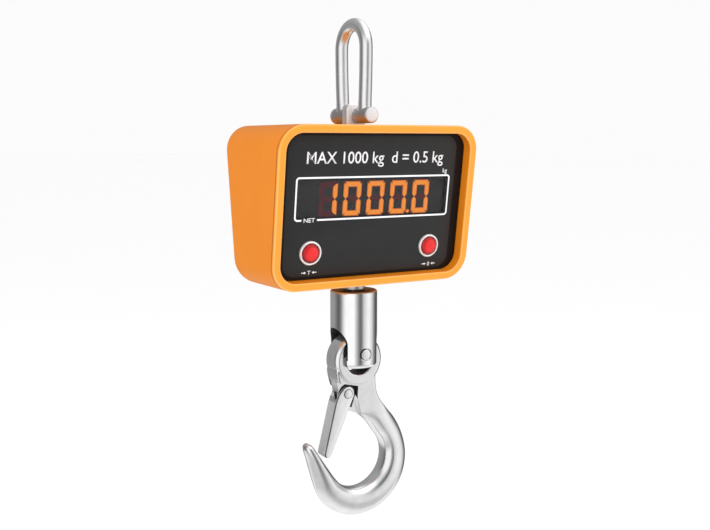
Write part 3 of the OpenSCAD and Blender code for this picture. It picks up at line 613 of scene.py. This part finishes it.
def join(name, parts):
    """Makes one piece of several, with all their materials."""
    bm = bmesh.new()
    mesh = parts[0].data.copy()
    for part in parts:
        known = len(bm.faces)
        bm.from_mesh(part.data)
        for mat in part.data.materials:
            if mat.name not in mesh.materials:
                mesh.materials.append(mat)
        bm.faces.ensure_lookup_table()
        for face in bm.faces[known:]:
            face.material_index = mesh.materials.find(part.data.materials[face.material_index].name)
    bm.to_mesh(mesh)
    bm.free()
    for part in parts:
        bpy.data.objects.remove(part)
    piece = bpy.data.objects.new(name, mesh)
    scene.collection.objects.link(piece)
    mesh.shade_smooth()
    mesh.set_sharp_from_angle(angle=math.radians(38))
    return piece


def add_jack():
    profile = [(2.75, -9), (2.75, 1.3), (3.1, 1.9), (3.6, 2.0), (7.0, 2.0), (7.8, 1.6), (8, 0.9), (8, 0.05),
               (6, 0), (6, -14), (0, -14), (0, -9)]
    piece = lathe("charging_socket", profile, on_back(*JACK_AT), BACK_OUT, BLACK)
    hand_over(piece, "housing", "jack_plastic", "charge_jack")


# ---------- front panel ----------

# Heights over the label's face: the foot and top of the printing, and the top of the display's border
PRINT_FOOT, PRINT_T, BORDER_T = 0.02, 0.06, 0.12
CAPITAL = 0.729  # height of the built-in typeface's capitals, as a share of its size


def print_plate(name, outlines, material, low=PRINT_FOOT, high=PRINT_T):
    return join(name, [prism(name, outline, (low, high), material, on_panel) for outline in outlines])


# The label stands this much over its base and this far from the recess's walls; its right edge is
# cut back further
LABEL_SINK, LABEL_GAP_U, LABEL_GAP_V, LABEL_R = 0.35, 5.6, 3.0, 11
LABEL_CUT_BACK = 3.2


def window_outline(play):
    outline = rounded_rect(WINDOW_W - 2 * play, WINDOW_H - 2 * play, WINDOW_R - play, 6, 2)
    return [(u, v + WINDOW_V) for u, v in outline]


def cut_panel_holes(piece):
    cut(piece, prism("hole", window_outline(0), (-9, 9), PANEL, on_panel),
        *[drill(9.25, on_panel(side * BUTTON_U, BUTTON_V), PANEL_OUT, PANEL) for side in (-1, 1)])


def add_panel():
    """A black base that fills the recess, and a dark label on it that leaves a black border."""
    low, w, h, r = LABEL_SINK, OPEN_W - 2 * PLAY, OPEN_H - 2 * PLAY, OPEN_R - PLAY
    rings = [[on_panel(u, v, -d) for u, v in rounded_rect(w - 2 * i, h - 2 * i, r - i)]
             for i, d in ((0, PANEL_T), (0, low + 0.3), (0.3, low))]
    base = mesh_piece("panel_base", *skin(rings), BASE)
    cut_panel_holes(base)
    # Painted light: the window's side walls take a lighter grey than the base
    material_where(base, WINDOW_WALL_LIGHT, lambda c, n: abs(n.dot(PANEL_OUT)) < 0.5 and abs(c.x) < WINDOW_W / 2 + 2
                 and abs((c - PANEL_O).dot(PANEL_UP) - WINDOW_V) < WINDOW_H / 2 + 1.7)
    hand_over(base, "housing", "panel_plastic", "front_panel")
    w, h, shift = OPEN_W - 2 * LABEL_GAP_U, OPEN_H - 2 * LABEL_GAP_V, LABEL_CUT_BACK / 2
    rings = [[on_panel(u - shift, v, -d)
              for u, v in rounded_rect(w - LABEL_CUT_BACK - 2 * i, h - 2 * i, LABEL_R - i)]
             for i, d in ((0, low + 0.1), (0, 0.18), (0.08, 0.05), (0.3, 0))]
    label = mesh_piece("panel_label", *skin(rings), PANEL)
    cut_panel_holes(label)
    hand_over(label, "housing", "panel_plastic")


def add_display_mask():
    depths = (DIGIT_Z - 0.55, DIGIT_Z - 0.1)
    piece = prism("display_mask", window_outline(PLAY), depths, MASK, on_panel)
    hand_over(piece, "housing", "display_plastic")


def add_display_border():
    """White line round the display, with a gap in its lower side for a small word."""
    w, h, r, line = 151.6, 36, 2.4, 1.45
    u0, v0, gap = 0.25, WINDOW_V - 0.4, (-69, -56)
    centre = rounded_rect(w - line, h - line, r, 10, 40)
    low = -(h - line) / 2
    hidden = [abs(v - low) < 0.01 and gap[0] < u < gap[1] for u, v in centre]
    total = len(centre)
    start = next(i + 1 for i in range(total) if hidden[i] and not hidden[(i + 1) % total])
    path = [centre[(start + i) % total] for i in range(total) if not hidden[(start + i) % total]]
    rings = []
    for i, (u, v) in enumerate(path):
        a, b = path[max(i - 1, 0)], path[min(i + 1, len(path) - 1)]
        d = Vector((b[0] - a[0], b[1] - a[1])).normalized()
        rings.append([on_panel(u + side * d.y * line / 2 + u0, v - side * d.x * line / 2 + v0, z)
                      for side, z in ((-1, PRINT_FOOT), (1, PRINT_FOOT), (1, BORDER_T), (-1, BORDER_T))])
    hand_over(mesh_piece("display_border", *skin(rings), PRINT), "housing", "panel_plastic")


def add_words(name, text, u, v, height, width=None, bold=0.0):
    """Printed lettering, centred on (u, v) of the panel, with capitals of a given height."""
    curve = bpy.data.curves.new(name, "FONT")
    curve.body = text
    curve.size = 1
    curve.resolution_u = 4
    curve.offset = bold
    text_object = bpy.data.objects.new(name, curve)
    scene.collection.objects.link(text_object)
    graph = bpy.context.evaluated_depsgraph_get()
    mesh = bpy.data.meshes.new_from_object(text_object.evaluated_get(graph))
    bpy.data.objects.remove(text_object)
    xs = [p.co.x for p in mesh.vertices]
    sy = height / CAPITAL
    sx = width / (max(xs) - min(xs)) if width else sy
    centre = (max(xs) + min(xs)) / 2
    bm = bmesh.new()
    bm.from_mesh(mesh)
    bmesh.ops.remove_doubles(bm, verts=bm.verts, dist=1e-4)
    bmesh.ops.dissolve_limit(bm, angle_limit=0.01, verts=bm.verts, edges=bm.edges)
    for p in bm.verts:
        p.co = on_panel(u + (p.co.x - centre) * sx, v + (p.co.y - CAPITAL / 2) * sy, PRINT_T) * MM
    grown = bmesh.ops.extrude_face_region(bm, geom=list(bm.faces))
    for item in grown["geom"]:
        if isinstance(item, bmesh.types.BMVert):
            item.co -= PANEL_OUT * (PRINT_T - PRINT_FOOT) * MM
    bmesh.ops.recalc_face_normals(bm, faces=bm.faces)
    bm.to_mesh(mesh)
    bm.free()
    mesh.materials.clear()
    mesh.materials.append(PRINT)
    piece = bpy.data.objects.new(name, mesh)
    scene.collection.objects.link(piece)
    hand_over(piece, "housing", "panel_plastic")


def arrow(u, v, size, way):
    """A small arrow that points along u."""
    shape = [(-1.0, -0.14), (0.1, -0.14), (0.1, -0.5), (1.0, 0), (0.1, 0.5), (0.1, 0.14), (-1.0, 0.14)]
    return [(u + way * a * size, v + b * size) for a, b in shape]


def add_printing():
    add_display_border()
    add_words("rating_line", "MAX 1000 kg  d = 0.5 kg", 0.2, 40.1, 10.0, 134, bold=0.008)
    add_words("unit_word", "kg", 70.3, 28.0, 3.9, bold=0.012)
    add_words("net_word", "NET", -61.4, WINDOW_V - 17.6, 3.6, 10.4, bold=0.015)
    v, reach = -54.6, 4.9
    for name, letter, u in (("left", "T", -BUTTON_U), ("right", "0", BUTTON_U + 2)):
        add_words("key_letter_" + name, letter, u, v, 3.6, bold=0.01)
        arrows = [arrow(u - reach, v, 2.2, 1), arrow(u + reach, v, 2.2, -1)]
        hand_over(print_plate("key_arrows_" + name, arrows, PRINT), "housing", "panel_plastic")


LIT = {"1": (1, 2), "0": (0, 1, 2, 3, 4, 5)}
READING = "10000"
CORNER_FILL = 0.5  # how far a segment's outer corner reaches past its end, in half widths
CORE_INSET, CORE_END = 0.7, 0.15  # bright core: its inset, and the share of it at a segment's ends


def segment_outline(place, shrink):
    """Outline of one of the seven segments, a to g, about the middle of its digit."""
    half_w, half_h = (DIGIT_W - SEGMENT_W) / 2, (DIGIT_H - SEGMENT_W) / 2
    u, v, upright = ((0, half_h, 0), (half_w, half_h / 2, 1), (half_w, -half_h / 2, 1), (0, -half_h, 0),
                     (-half_w, -half_h / 2, 1), (-half_w, half_h / 2, 1), (0, 0, 0))[place]
    half = (half_h if upright else 2 * half_w) / 2 - 0.04 - CORE_END * shrink
    w = SEGMENT_W / 2 - shrink
    outer_side = (1, 1, 1, -1, -1, -1, 0)[place]
    ends = ((1, 1), (0, 1), (1, 0), (1, 1), (1, 0), (0, 1), (0, 0))[place]

    def corner(end, side):
        """Outer corners of the figure are filled out towards their neighbours."""
        full = side == (-outer_side if upright else outer_side) and ends[end]
        return (-1, 1)[end] * (half - (-CORNER_FILL if full else 1) * w), side * w

    shape = [(-half, 0), corner(0, 1), corner(1, 1), (half, 0), corner(1, -1), corner(0, -1)]
    return [(u - b, v + a) if upright else (u + a, v + b) for a, b in shape]


def add_digits():
    groups = {"lit_rims": [], "lit_cores": [], "unlit_bars": []}
    for i, figure in enumerate(READING):
        u0 = DIGIT_U + (i - (len(READING) - 1) / 2) * DIGIT_PITCH
        for place in range(7):
            lit = place in LIT[figure]
            layers = {"lit_rims": 0, "lit_cores": CORE_INSET} if lit else {"unlit_bars": 0}
            for name, shrink in layers.items():
                groups[name].append([(u0 + a, DIGIT_V + b) for a, b in segment_outline(place, shrink)])
    dot = (DIGIT_U + 2 * DIGIT_PITCH - DIGIT_W / 2 - 3.4, DIGIT_V - DIGIT_H / 2 + 2)
    groups["lit_rims"].append(disc(1.7, 24, dot))
    groups["lit_cores"].append(disc(1.15, 24, dot))
    # The unlit bars take the faint painted glow
    for name, mat, slot, lift, *nodes in (("lit_rims", LIT_EDGE, "lit", 0, "lit_segments"),
                                          ("lit_cores", LIT_CORE, "lit", 0.08),
                                          ("unlit_bars", UNLIT_GLOW, "unlit", 0, "unlit_segments")):
        piece = print_plate(name, groups[name], mat, DIGIT_Z - 0.6, DIGIT_Z + lift)
        hand_over(piece, "housing", slot, *nodes)


def add_buttons():
    for side, kind in ((-1, "tare"), (1, "zero")):
        at = on_panel(side * BUTTON_U, BUTTON_V)
        bezel = [(8.25, -1.5), (8.25, 1.2), (8.5, 1.9), (9.0, 2.2), (9.5, 2.1), (10.0, 1.6), (10.2, 0.9),
                 (10.2, 0.05), (9.2, 0), (9.2, -20), (4, -20), (4, -24), (3, -24), (3, -16), (6, -16),
                 (6, -1.9)]
        piece = lathe(kind + "_bezel", bezel, at, PANEL_OUT, BEZEL, loop=True)
        hand_over(piece, "housing", "bezel_metal", kind + "_switch")
        cap = [(0, 3.9), (2, 3.88), (4, 3.75), (5.6, 3.45), (6.7, 2.95), (7.4, 2.2), (7.75, 1.2), (7.8, 0.2),
               (5.5, 0), (5.5, -6.3), (0, -6.3)]
        piece = lathe(kind + "_cap", cap, at, PANEL_OUT, CAP)
        # Painted shade on the cap's rounded edge
        material_where(piece, CAP_EDGE_SHADE, lambda c, n: n.dot(PANEL_OUT) < 0.93)
        hand_over(piece, kind + "_button", "cap_red", kind + "_button")


# ---------- shackle and lifting eye ----------

BAR_R = 5.5


def add_shackle():
    crown_half, boss_half = 19.7, 17.4
    crown_z = BAR_R - crown_half
    centres = []
    for i in range(15):
        z = PIN_Z + (crown_z - PIN_Z) * i / 14
        t = (z - PIN_Z) / (crown_z - PIN_Z)
        centres.append((boss_half + (crown_half - boss_half) * math.sin(t * math.pi / 2), z))
    path = centres + arc_points(crown_half, (0, crown_z), range(5, 176, 5))
    path += [(-y, z) for y, z in centres[::-1]]
    rings = []
    for i, (y, z) in enumerate(path):
        a, b = path[max(i - 1, 0)], path[min(i + 1, len(path) - 1)]
        tangent = Vector((0, b[0] - a[0], b[1] - a[1])).normalized()
        out = Vector((0, tangent.z, -tangent.y))
        flare = max(0, 1 - max(0, z - PIN_Z - BAR_R) / 4.5) ** 2  # the bar widens into its boss
        ry, rx = BAR_R + 1.6 * flare, BAR_R + 0.5 * flare
        rings.append([Vector((0, y, z)) + out * ry * math.cos(math.tau * j / 40)
                      + Vector((rx * math.sin(math.tau * j / 40), 0, 0)) for j in range(40)])
    parts = [mesh_piece("bow", *skin(rings), POLISHED)]
    boss = [(4.6, 8), (6.2, 8), (6.7, 8.3), (6.85, 8.9), (6.85, 26.4), (6.8, 26.55), (4.6, 26.6)]
    parts += [lathe("boss", boss, UP * PIN_Z, BACKWARD * side, BOSS_STEEL_AND_SHADE, loop=True) for side in (-1, 1)]
    hand_over(join("shackle_bow", parts), "shackle", "polished_steel", "shackle")
    pin = [(0, -29.05), (4.6, -29.05), (6.0, -28.95), (6.5, -28.7), (6.8, -28.2), (6.85, -27.6),
           (6.85, -26.75), (6.7, -26.62), (4.5, -26.6), (4.5, 28.1), (0, 28.1)]
    piece = lathe("bow_pin", pin, UP * PIN_Z, BACKWARD, BRUSHED)
    # Painted shade round the sides of the pin's ends
    material_where(piece, BOSS_STEEL_AND_SHADE, lambda c, n: abs(n.y) < 0.9)
    hand_over(piece, "shackle", "polished_steel", "shackle_pin")
    nut = [(4.5, 26.62), (6.7, 26.62), (6.85, 26.75), (6.85, 28.2), (6.5, 28.7), (6.0, 28.95), (4.5, 29.05)]
    piece = lathe("bow_pin_nut", nut, UP * PIN_Z, BACKWARD, POLISHED, loop=True)
    cut(piece, *[drill(0.8, (x, 0, PIN_Z), BACKWARD, POLISHED, 27.4, 30, 24) for x in (-5.6, 5.6)])
    hand_over(piece, "shackle", "polished_steel", "shackle_pin_nut")


def add_lifting_eye():
    half_w, half_t, rise, r = 9.3, 4, 9.8, 5
    outline = []
    for side, start in ((1, 0), (-1, 90)):
        outline += arc_points(r, (side * (half_w - r), PIN_Z + rise - r), range(start, start + 91, 9))
    outline += [(-half_w, TOP_Z - 8), (half_w, TOP_Z - 8)]
    piece = prism("tongue", outline, (-half_t, half_t), LUG, xz)
    soften(piece, 0.9, 3)
    cut(piece, drill(4.55, UP * PIN_Z, BACKWARD, LUG))
    # Painted light: only the tongue's front face takes the lighter copy
    material_where(piece, LUG_FACE_LIT, lambda c, n: n.y < -0.9)
    low = box("lifting_eye")[0].z
    shank = lathe("shank", [(0, low), (8, low), (8, TOP_Z - 7), (0, TOP_Z - 7)], ORIGIN, UP, LUG)
    hand_over(join("lifting_tongue", [piece, shank]), "housing", "steel", "lifting_eye")


# ---------- swivel ----------

CLEVIS_PIN_R = 5


def add_swivel():
    low, high = box("swivel_sleeve")
    r = (high.x - low.x) / 2
    bottom, top = low.z, high.z
    profile = [(0, bottom), (r - 3.2, bottom), (r - 2.2, bottom + 0.25), (r - 1.1, bottom + 0.95),
               (r - 0.35, bottom + 2.0), (r, bottom + 3.4), (r, bottom + 8), (r, top - 6), (r, top - 1.1),
               (r - 0.3, top - 0.4), (r - 1, top), (0, top)]
    piece = lathe("sleeve", profile, ORIGIN, UP, TURNED, 160)
    slot_w, rise = 28.6, 22.3
    arch = arc_points(slot_w / 2, (0, CLEVIS_Z + rise - slot_w / 2), range(0, 181, 5))
    arch += [(-slot_w / 2, bottom - 5), (slot_w / 2, bottom - 5)]
    slot = prism("slot", arch, (-30, 30), TURNED, lambda y, z, x: Vector((x, y, z)))
    bearing_room = drill(13.7, ORIGIN, UP, TURNED, top - 41.4, top - 11.4)
    stud_bore = drill(6.05, ORIGIN, UP, TURNED, top - 20, top + 5)
    pin_bore = drill(CLEVIS_PIN_R + 0.02, UP * CLEVIS_Z, BACKWARD, TURNED, -30, 30)
    sinks = [drill(5.9, UP * CLEVIS_Z, BACKWARD * side, TURNED, r - 2.2, 30) for side in (-1, 1)]
    cut(piece, slot, bearing_room, stud_bore, pin_bore, *sinks)
    soften(piece, 0.35, 2, 45)
    # Painted shade on the sleeve's top edge, under the housing
    material_where(piece, BOSS_STEEL_AND_SHADE, lambda c, n: c.z > top - 1.6 and 0.15 < n.z < 0.95)
    # Painted shade inside the sleeve's slot and bores
    material_where(piece, SHADE_STEEL, lambda c, n: math.hypot(c.x, c.y) < r - 2.6
                 and (bottom + 6 < c.z < top - 6 or n.z > 0.95))
    hand_over(piece, "swivel", "steel", "swivel_sleeve")
    end = box("clevis_pin")[1].y
    pin = [(0, -end), (3.6, -end), (4.5, -end + 0.25), (CLEVIS_PIN_R, -end + 0.9),
           (CLEVIS_PIN_R, end - 0.9), (4.5, end - 0.25), (3.6, end), (0, end)]
    piece = lathe("sleeve_pin", pin, UP * CLEVIS_Z, BACKWARD, FACED)
    # Painted shade round the sides of the pin's ends
    material_where(piece, SHADE_STEEL, lambda c, n: abs(n.y) < 0.85)
    hand_over(piece, "swivel", "steel", "clevis_pin")


def add_stud():
    low, high = box("swivel_stud")
    sleeve_top = box("swivel_sleeve")[1].z
    collar = [(0, low.z), (5.2, low.z), (6, low.z + 0.8), (6, sleeve_top + 0.3), (6.5, sleeve_top + 0.6),
              (9.3, sleeve_top + 0.6), (9.8, sleeve_top + 1.1), (9.8, BOTTOM_Z + 12), (8, BOTTOM_Z + 12),
              (8, high.z), (0, high.z)]
    hand_over(lathe("stud", collar, ORIGIN, UP, ZINC), "housing", "steel", "swivel_stud")


# ---------- hook ----------

# The eye is forged with one hole and bored a little wider
EYE_R, EYE_HOLE_R, EYE_BORE_R, EYE_HALF = 23.6, 12, 12.2, 10.2
EYE_Z = CLEVIS_Z - (EYE_HOLE_R - CLEVIS_PIN_R - 0.1)
BOWL = Vector((2, 0, EYE_Z - 89.5))
BOWL_R = 27.7
OUTER_R = 48.8
OUTER_OFF = (3.2, -5.0)
ARC_FROM, ARC_TO = 46, -130
ARC_HALF = 10.3
# The back of the hook swells where the arc runs up into the neck
SWELL, SWELL_FROM, SWELL_SPAN = 2.8, 20.9, 25.1

# Half of the hook's section: (share of the way from the inner to the outer edge, share of depth)
CURVED = ((0, 0), (0.004, 0.25), (0.014, 0.44), (0.034, 0.585), (0.07, 0.69), (0.125, 0.8),
          (0.19, 0.905), (0.28, 0.985), (0.38, 1), (0.49, 0.985), (0.6, 0.945), (0.7, 0.885),
          (0.79, 0.79), (0.87, 0.65), (0.94, 0.43), (0.985, 0.2), (1, 0))
FLAT = ((0, 0), (0.0005, 0.5), (0.003, 0.82), (0.014, 0.95), (0.05, 1), (0.2, 1), (0.35, 1),
        (0.48, 1), (0.6, 1), (0.7, 1), (0.8, 1), (0.88, 1), (0.95, 1), (0.985, 0.95),
        (0.997, 0.82), (0.9995, 0.5), (1, 0))

# Stations of the neck and of the tip: (inner edge, outer edge, half depth, share of the flat section)
NECK_ROWS = (((-25, 82), (15.6, 83), 9.5, 1), ((-23.8, 74), (15.6, 75.5), 9.5, 1),
             ((-21, 64.5), (15.7, 67), 9.5, 1),
             ((-20.2, 55.8), (16.7, 60), 9.5, 1), ((-15.6, 48.2), (19, 54), 9.6, 1),
             ((-7.6, 43.4), (22.6, 48.9), 9.6, 0.93), ((1.2, 39.6), (26.8, 44.6), 9.8, 0.72),
             ((7.5, 34.9), (31.2, 40.1), 10, 0.4), ((13.3, 28.6), (36.4, 35), 10.2, 0.13))
TIP_ROWS = (((-20.7, -18.5), (-34.8, -35.8), 10.2, 0), ((-23.3, -15.4), (-40.5, -25.8), 10.1, 0),
            ((-25.9, -12.2), (-44.4, -14), 9.9, 0), ((-31.4, -4.2), (-47.2, -4.4), 9.4, 0),
            ((-37.2, 4.6), (-49.8, 5), 8.6, 0), ((-41.4, 11.3), (-52, 11.6), 7.6, 0),
            ((-44.4, 15.9), (-53, 15.8), 6.2, 0), ((-46.6, 18.3), (-52.5, 18.3), 4.4, 0),
            ((-48.4, 19.6), (-51, 19.6), 2.2, 0))


def polar(r, degrees):
    return r * math.cos(math.radians(degrees)), r * math.sin(math.radians(degrees))


def hook_rows():
    rows = list(NECK_ROWS)
    steps = 14
    for i in range(steps + 1):
        a = ARC_FROM + (ARC_TO - ARC_FROM) * i / steps
        ox, oz = polar(OUTER_R, a - 3 * math.cos(math.radians(a)))
        swell = SWELL * max(0, (a - SWELL_FROM) / SWELL_SPAN) ** 1.6
        rows.append((polar(BOWL_R, a), (OUTER_OFF[0] + ox + swell, OUTER_OFF[1] + oz), ARC_HALF, 0))
    return rows + list(TIP_ROWS)


def smooth_row(rows, i, t):
    """Catmull-Rom blend between rows i and i + 1."""
    keys = [rows[min(max(i + k, 0), len(rows) - 1)] for k in (-1, 0, 1, 2)]
    flat = [(*k[0], *k[1], k[2], k[3]) for k in keys]
    return [0.5 * (2 * b + (c - a) * t + (2 * a - 5 * b + 4 * c - d) * t * t
                   + (3 * b - a - 3 * c + d) * t * t * t) for a, b, c, d in zip(*flat)]


def hook_section(row):
    ix, iz, ox, oz, half, flat = row
    half_ring = [(a[0] + (b[0] - a[0]) * flat, a[1] + (b[1] - a[1]) * flat) for a, b in zip(CURVED, FLAT)]
    ring = half_ring + [(s, -d) for s, d in half_ring[-2:0:-1]]
    return [Vector((BOWL.x + ix + (ox - ix) * s, -half * d, BOWL.z + iz + (oz - iz) * s))
            for s, d in ring]


def hook_parts():
    """The hook's body and the ring of its eye, each as vertices and faces of a closed skin."""
    rows = hook_rows()
    sections = [hook_section(smooth_row(rows, i, t / 3)) for i in range(len(rows) - 1) for t in range(3)]
    sections.append(hook_section(smooth_row(rows, len(rows) - 2, 1.0)))
    ring = [(EYE_HOLE_R + 1.6, -EYE_HALF), (EYE_R - 2.6, -EYE_HALF), (EYE_R - 0.5, -EYE_HALF + 1.9),
            (EYE_R, -EYE_HALF + 3.0), (EYE_R, EYE_HALF - 3.0), (EYE_R - 0.5, EYE_HALF - 1.9),
            (EYE_R - 2.6, EYE_HALF), (EYE_HOLE_R + 1.6, EYE_HALF), (EYE_HOLE_R + 0.4, EYE_HALF - 1.1),
            (EYE_HOLE_R, EYE_HALF - 3), (EYE_HOLE_R, -EYE_HALF + 3), (EYE_HOLE_R + 0.4, -EYE_HALF + 1.1)]
    eye = lathe("eye", ring, UP * EYE_Z, BACKWARD, FORGED, 96, loop=True)
    verts = [v.co / MM for v in eye.data.vertices]
    faces = [tuple(f.vertices) for f in eye.data.polygons]
    bpy.data.objects.remove(eye)
    return [skin(sections), (verts, faces)]


LATCH_OPEN = 36
PIVOT_R = 7.0
LATCH_TIP_HALF = 3.4
TONGUE_HALF = 5.2
LATCH_TIP = Vector((-30.4, 0, EYE_Z - 82.2))
LATCH_LEN = (LATCH_TIP - PIVOT).length
ALONG = (LATCH_TIP - PIVOT).normalized()
SIDEWAYS = Vector((-ALONG.z, 0, ALONG.x))


def on_latch(t, w):
    """Point in X and Z at t along the latch and w towards its inner side."""
    p = PIVOT + ALONG * t + SIDEWAYS * w
    return p.x, p.z


def add_hook():
    piece = fuse("hook_forging", hook_parts(), FORGED, 0.5, 7)
    swing = (math.atan2(ALONG.z, ALONG.x) - math.atan((PIVOT_R - LATCH_TIP_HALF) / LATCH_LEN)
             + math.radians(LATCH_OPEN + 2))
    run = Vector((math.cos(swing), 0, math.sin(swing)))
    side = Vector((-run.z, 0, run.x))
    wall = PIVOT + side * (PIVOT_R + 0.4) + run * 4
    foot = wall + run * 32
    pocket = [(-45, PIVOT.z + 17.5), (PIVOT.x + 8.8, PIVOT.z + 6.5), (wall.x, wall.z), (foot.x, foot.z),
              (-45, PIVOT.z - 34)]
    back_pocket = [(-45, PIVOT.z + 6), (PIVOT.x - 7, PIVOT.z + 6.5), (PIVOT.x - 2, PIVOT.z + 7.9)]
    back_pocket += pocket[1:]
    top_x, top_z = pocket[1]
    slope = (top_z - pocket[0][1]) / (top_x - pocket[0][0])
    gap = [(x, min(z, top_z + slope * (x - top_x)))
           for x, z in arc_points(9, (PIVOT.x, PIVOT.z), range(215, 55, -8))]
    gap += pocket[1:3] + [on_latch(*p) for p in ((10.5, 8.9), (10.5, 5), (2, 5))]
    tools = [prism("pocket", pocket, (-20, -TONGUE_HALF), FORGED, xz),
             prism("back_pocket", back_pocket, (TONGUE_HALF, 20), FORGED, xz)]
    deep = TONGUE_HALF - 0.4
    tools.append(prism("gap", gap, (-20, -deep), FORGED, xz))
    mouth = [(1.2, 20), (1.2, EYE_HALF - 0.1), (0.2, EYE_HALF - 1.2), (0, EYE_HALF - 3)]
    bore = [(0, -20)] + [(EYE_BORE_R + wider, -y) for wider, y in mouth]
    bore += [(EYE_BORE_R + wider, y) for wider, y in mouth[::-1]] + [(0, 20)]
    bore_at = UP * (EYE_Z + EYE_HOLE_R - EYE_BORE_R)
    tools.append(lathe("bore", bore, bore_at, BACKWARD, FORGED, 96))
    room = [(PIVOT.x + x, PIVOT.z + z) for x, z in (
        (-20, -16), (3.75, -16), (3.75, 0), (3.2, 3.4), (0, 4.7), (-3.3, 3.3), (-20, 0))]
    tools.append(prism("spring_room", room, (-2.6, 2.6), FORGED, xz))
    tools.append(drill(2.5, PIVOT, BACKWARD, FORGED, -12, 12, 32))
    cut(piece, *tools)
    tidy_normals(piece, 42)

    def in_gap(c, n):
        t = (c - PIVOT).dot(ALONG)
        wall = abs(n.y) < 0.05 and deep < abs(c.y) < 9.2 and t < 3
        return (c - PIVOT).length < 18 and (wall or abs(abs(c.y) - deep) < 0.02)

    def in_bore(c, n):
        return abs(n.y) < 0.5 and (c - bore_at - BACKWARD * c.y).length < EYE_BORE_R + 0.6

    # Painted shade: the gap by the latch's pivot is made near-black
    material_where(piece, GAP_SHADE, in_gap)
    # Painted shade inside the eye's bore
    material_where(piece, SHADE_STEEL, in_bore)
    hand_over(piece, "hook", "forged_steel", "hook")


def add_latch():
    """A sheet channel that straddles the hook's tongue, and its rivet."""
    tip_r, sheet_t = 3.5, 1.5
    outline = [(PIVOT_R * -math.cos(math.radians(a)), PIVOT_R * math.sin(math.radians(a)))
               for a in range(-80, 91, 10)]
    tip = [(LATCH_LEN - 1.5 + tip_r * math.sin(math.radians(a)), -0.1 + tip_r * math.cos(math.radians(a)))
           for a in range(0, 181, 20)]
    outline += tip + [(12, -8.9), (7.5, -9.1), (3.5, -8.7), (0.5, -7.9)]
    points = [on_latch(t, w) for t, w in outline]
    half = TONGUE_HALF + 0.3 + sheet_t
    piece = prism("channel", points, (-half, half), STAMPED, xz)
    soften(piece, 1.5, 4, 60)
    inner = half - sheet_t
    hollow = [(-12, 12), (LATCH_LEN + 8, 12), (LATCH_LEN + 8, -0.9), (LATCH_LEN - 4, -1.6), (11.5, -7.2),
              (9.5, -12), (-12, -12)]
    cut(piece, prism("hollow", [on_latch(t, w) for t, w in hollow], (-inner, inner), STAMPED, xz),
        drill(2.55, PIVOT, BACKWARD, STAMPED, -12, 12, 40))
    # Painted shade in the channel's bends
    material_where(piece, SHADE_STEEL, lambda c, n: 0.2 < abs(n.y) < 0.97 and n.dot(SIDEWAYS) < -0.1)
    hand_over(piece, "latch", "zinc", "latch")
    end = half + 0.9
    head = [(0, end), (2.9, end - 0.03), (3.7, end - 0.22), (4.2, end - 0.5), (4.25, half + 0.05),
            (2.5, half)]
    rivet = [(r, -y) for r, y in head] + head[::-1]
    piece = lathe("latch_rivet", rivet, PIVOT, BACKWARD, FACED, 48)
    # Painted shade round the side of the rivet head
    material_where(piece, SHADE_STEEL, lambda c, n: abs(n.y) < 0.9)
    hand_over(piece, "hook", "zinc", "latch_pin")


# ---------- everything ----------

NODE_LOOKS = {
    "mounting_plate": ZINC, "mounting_screws": ZINC, "load_cell": ALLOY, "stud_nut": ZINC, "split_pin": ZINC,
    "bearing_lower_race": TURNED, "bearing_upper_race": TURNED, "bearing_cage": BRASS, "panel_seal": RUBBER,
    "display_window": WINDOW, "display_block": BLACK, "display_board": BOARD_FRONT, "board_spacers": BRASS,
    "board_screws": ZINC, "switch_nuts": ZINC, "tare_spring": SPRING, "zero_spring": SPRING,
    "main_board": BOARD, "battery_pack": WRAP, "battery_bracket": ZINC, "rear_gasket": RUBBER,
    "charge_jack_nut": ZINC, "latch_spring": SPRING,
}


def dress_nodes():
    for node, mat in NODE_LOOKS.items():
        for slot in frame["nodes"][node].material_slots:
            slot.material = mat


def add_floor():
    """A pale floor, as rings that widen outwards."""
    rings = [[Vector((x, y, FLOOR_Z / MM)) for x, y in disc(r, 96)] for r in (1, 400, 2000, 8000, 60000)]
    mat = surface("floor", (0.93, 0.93, 0.93), 0.8, mottle=0.005, mottle_mm=300, grain_mm=20, bump=0.02,
                  Emission_Color=(1, 1, 1, 1), Emission_Strength=0.18)
    verts, faces = skin(rings, capped=False)
    faces.append(tuple(range(len(rings[0]))))
    floor = mesh_piece("floor", verts, faces, mat)
    floor.visible_glossy = False


add_camera()
add_world()
add_softbox("key", (-1.0, -1.9, 0.9), (0, 0, -0.18), (1.0, 1.0), 21)
add_softbox("fill", (1.5, -1.3, 0.2), (0, 0, -0.2), (0.8, 1.2), 7)
add_floor()
dress_nodes()
add_housing()
add_seals()
add_cover()
add_rear_screws()
add_jack()
add_panel()
add_display_mask()
add_printing()
add_digits()
add_buttons()
add_shackle()
add_lifting_eye()
add_swivel()
add_stud()
add_hook()
add_latch()
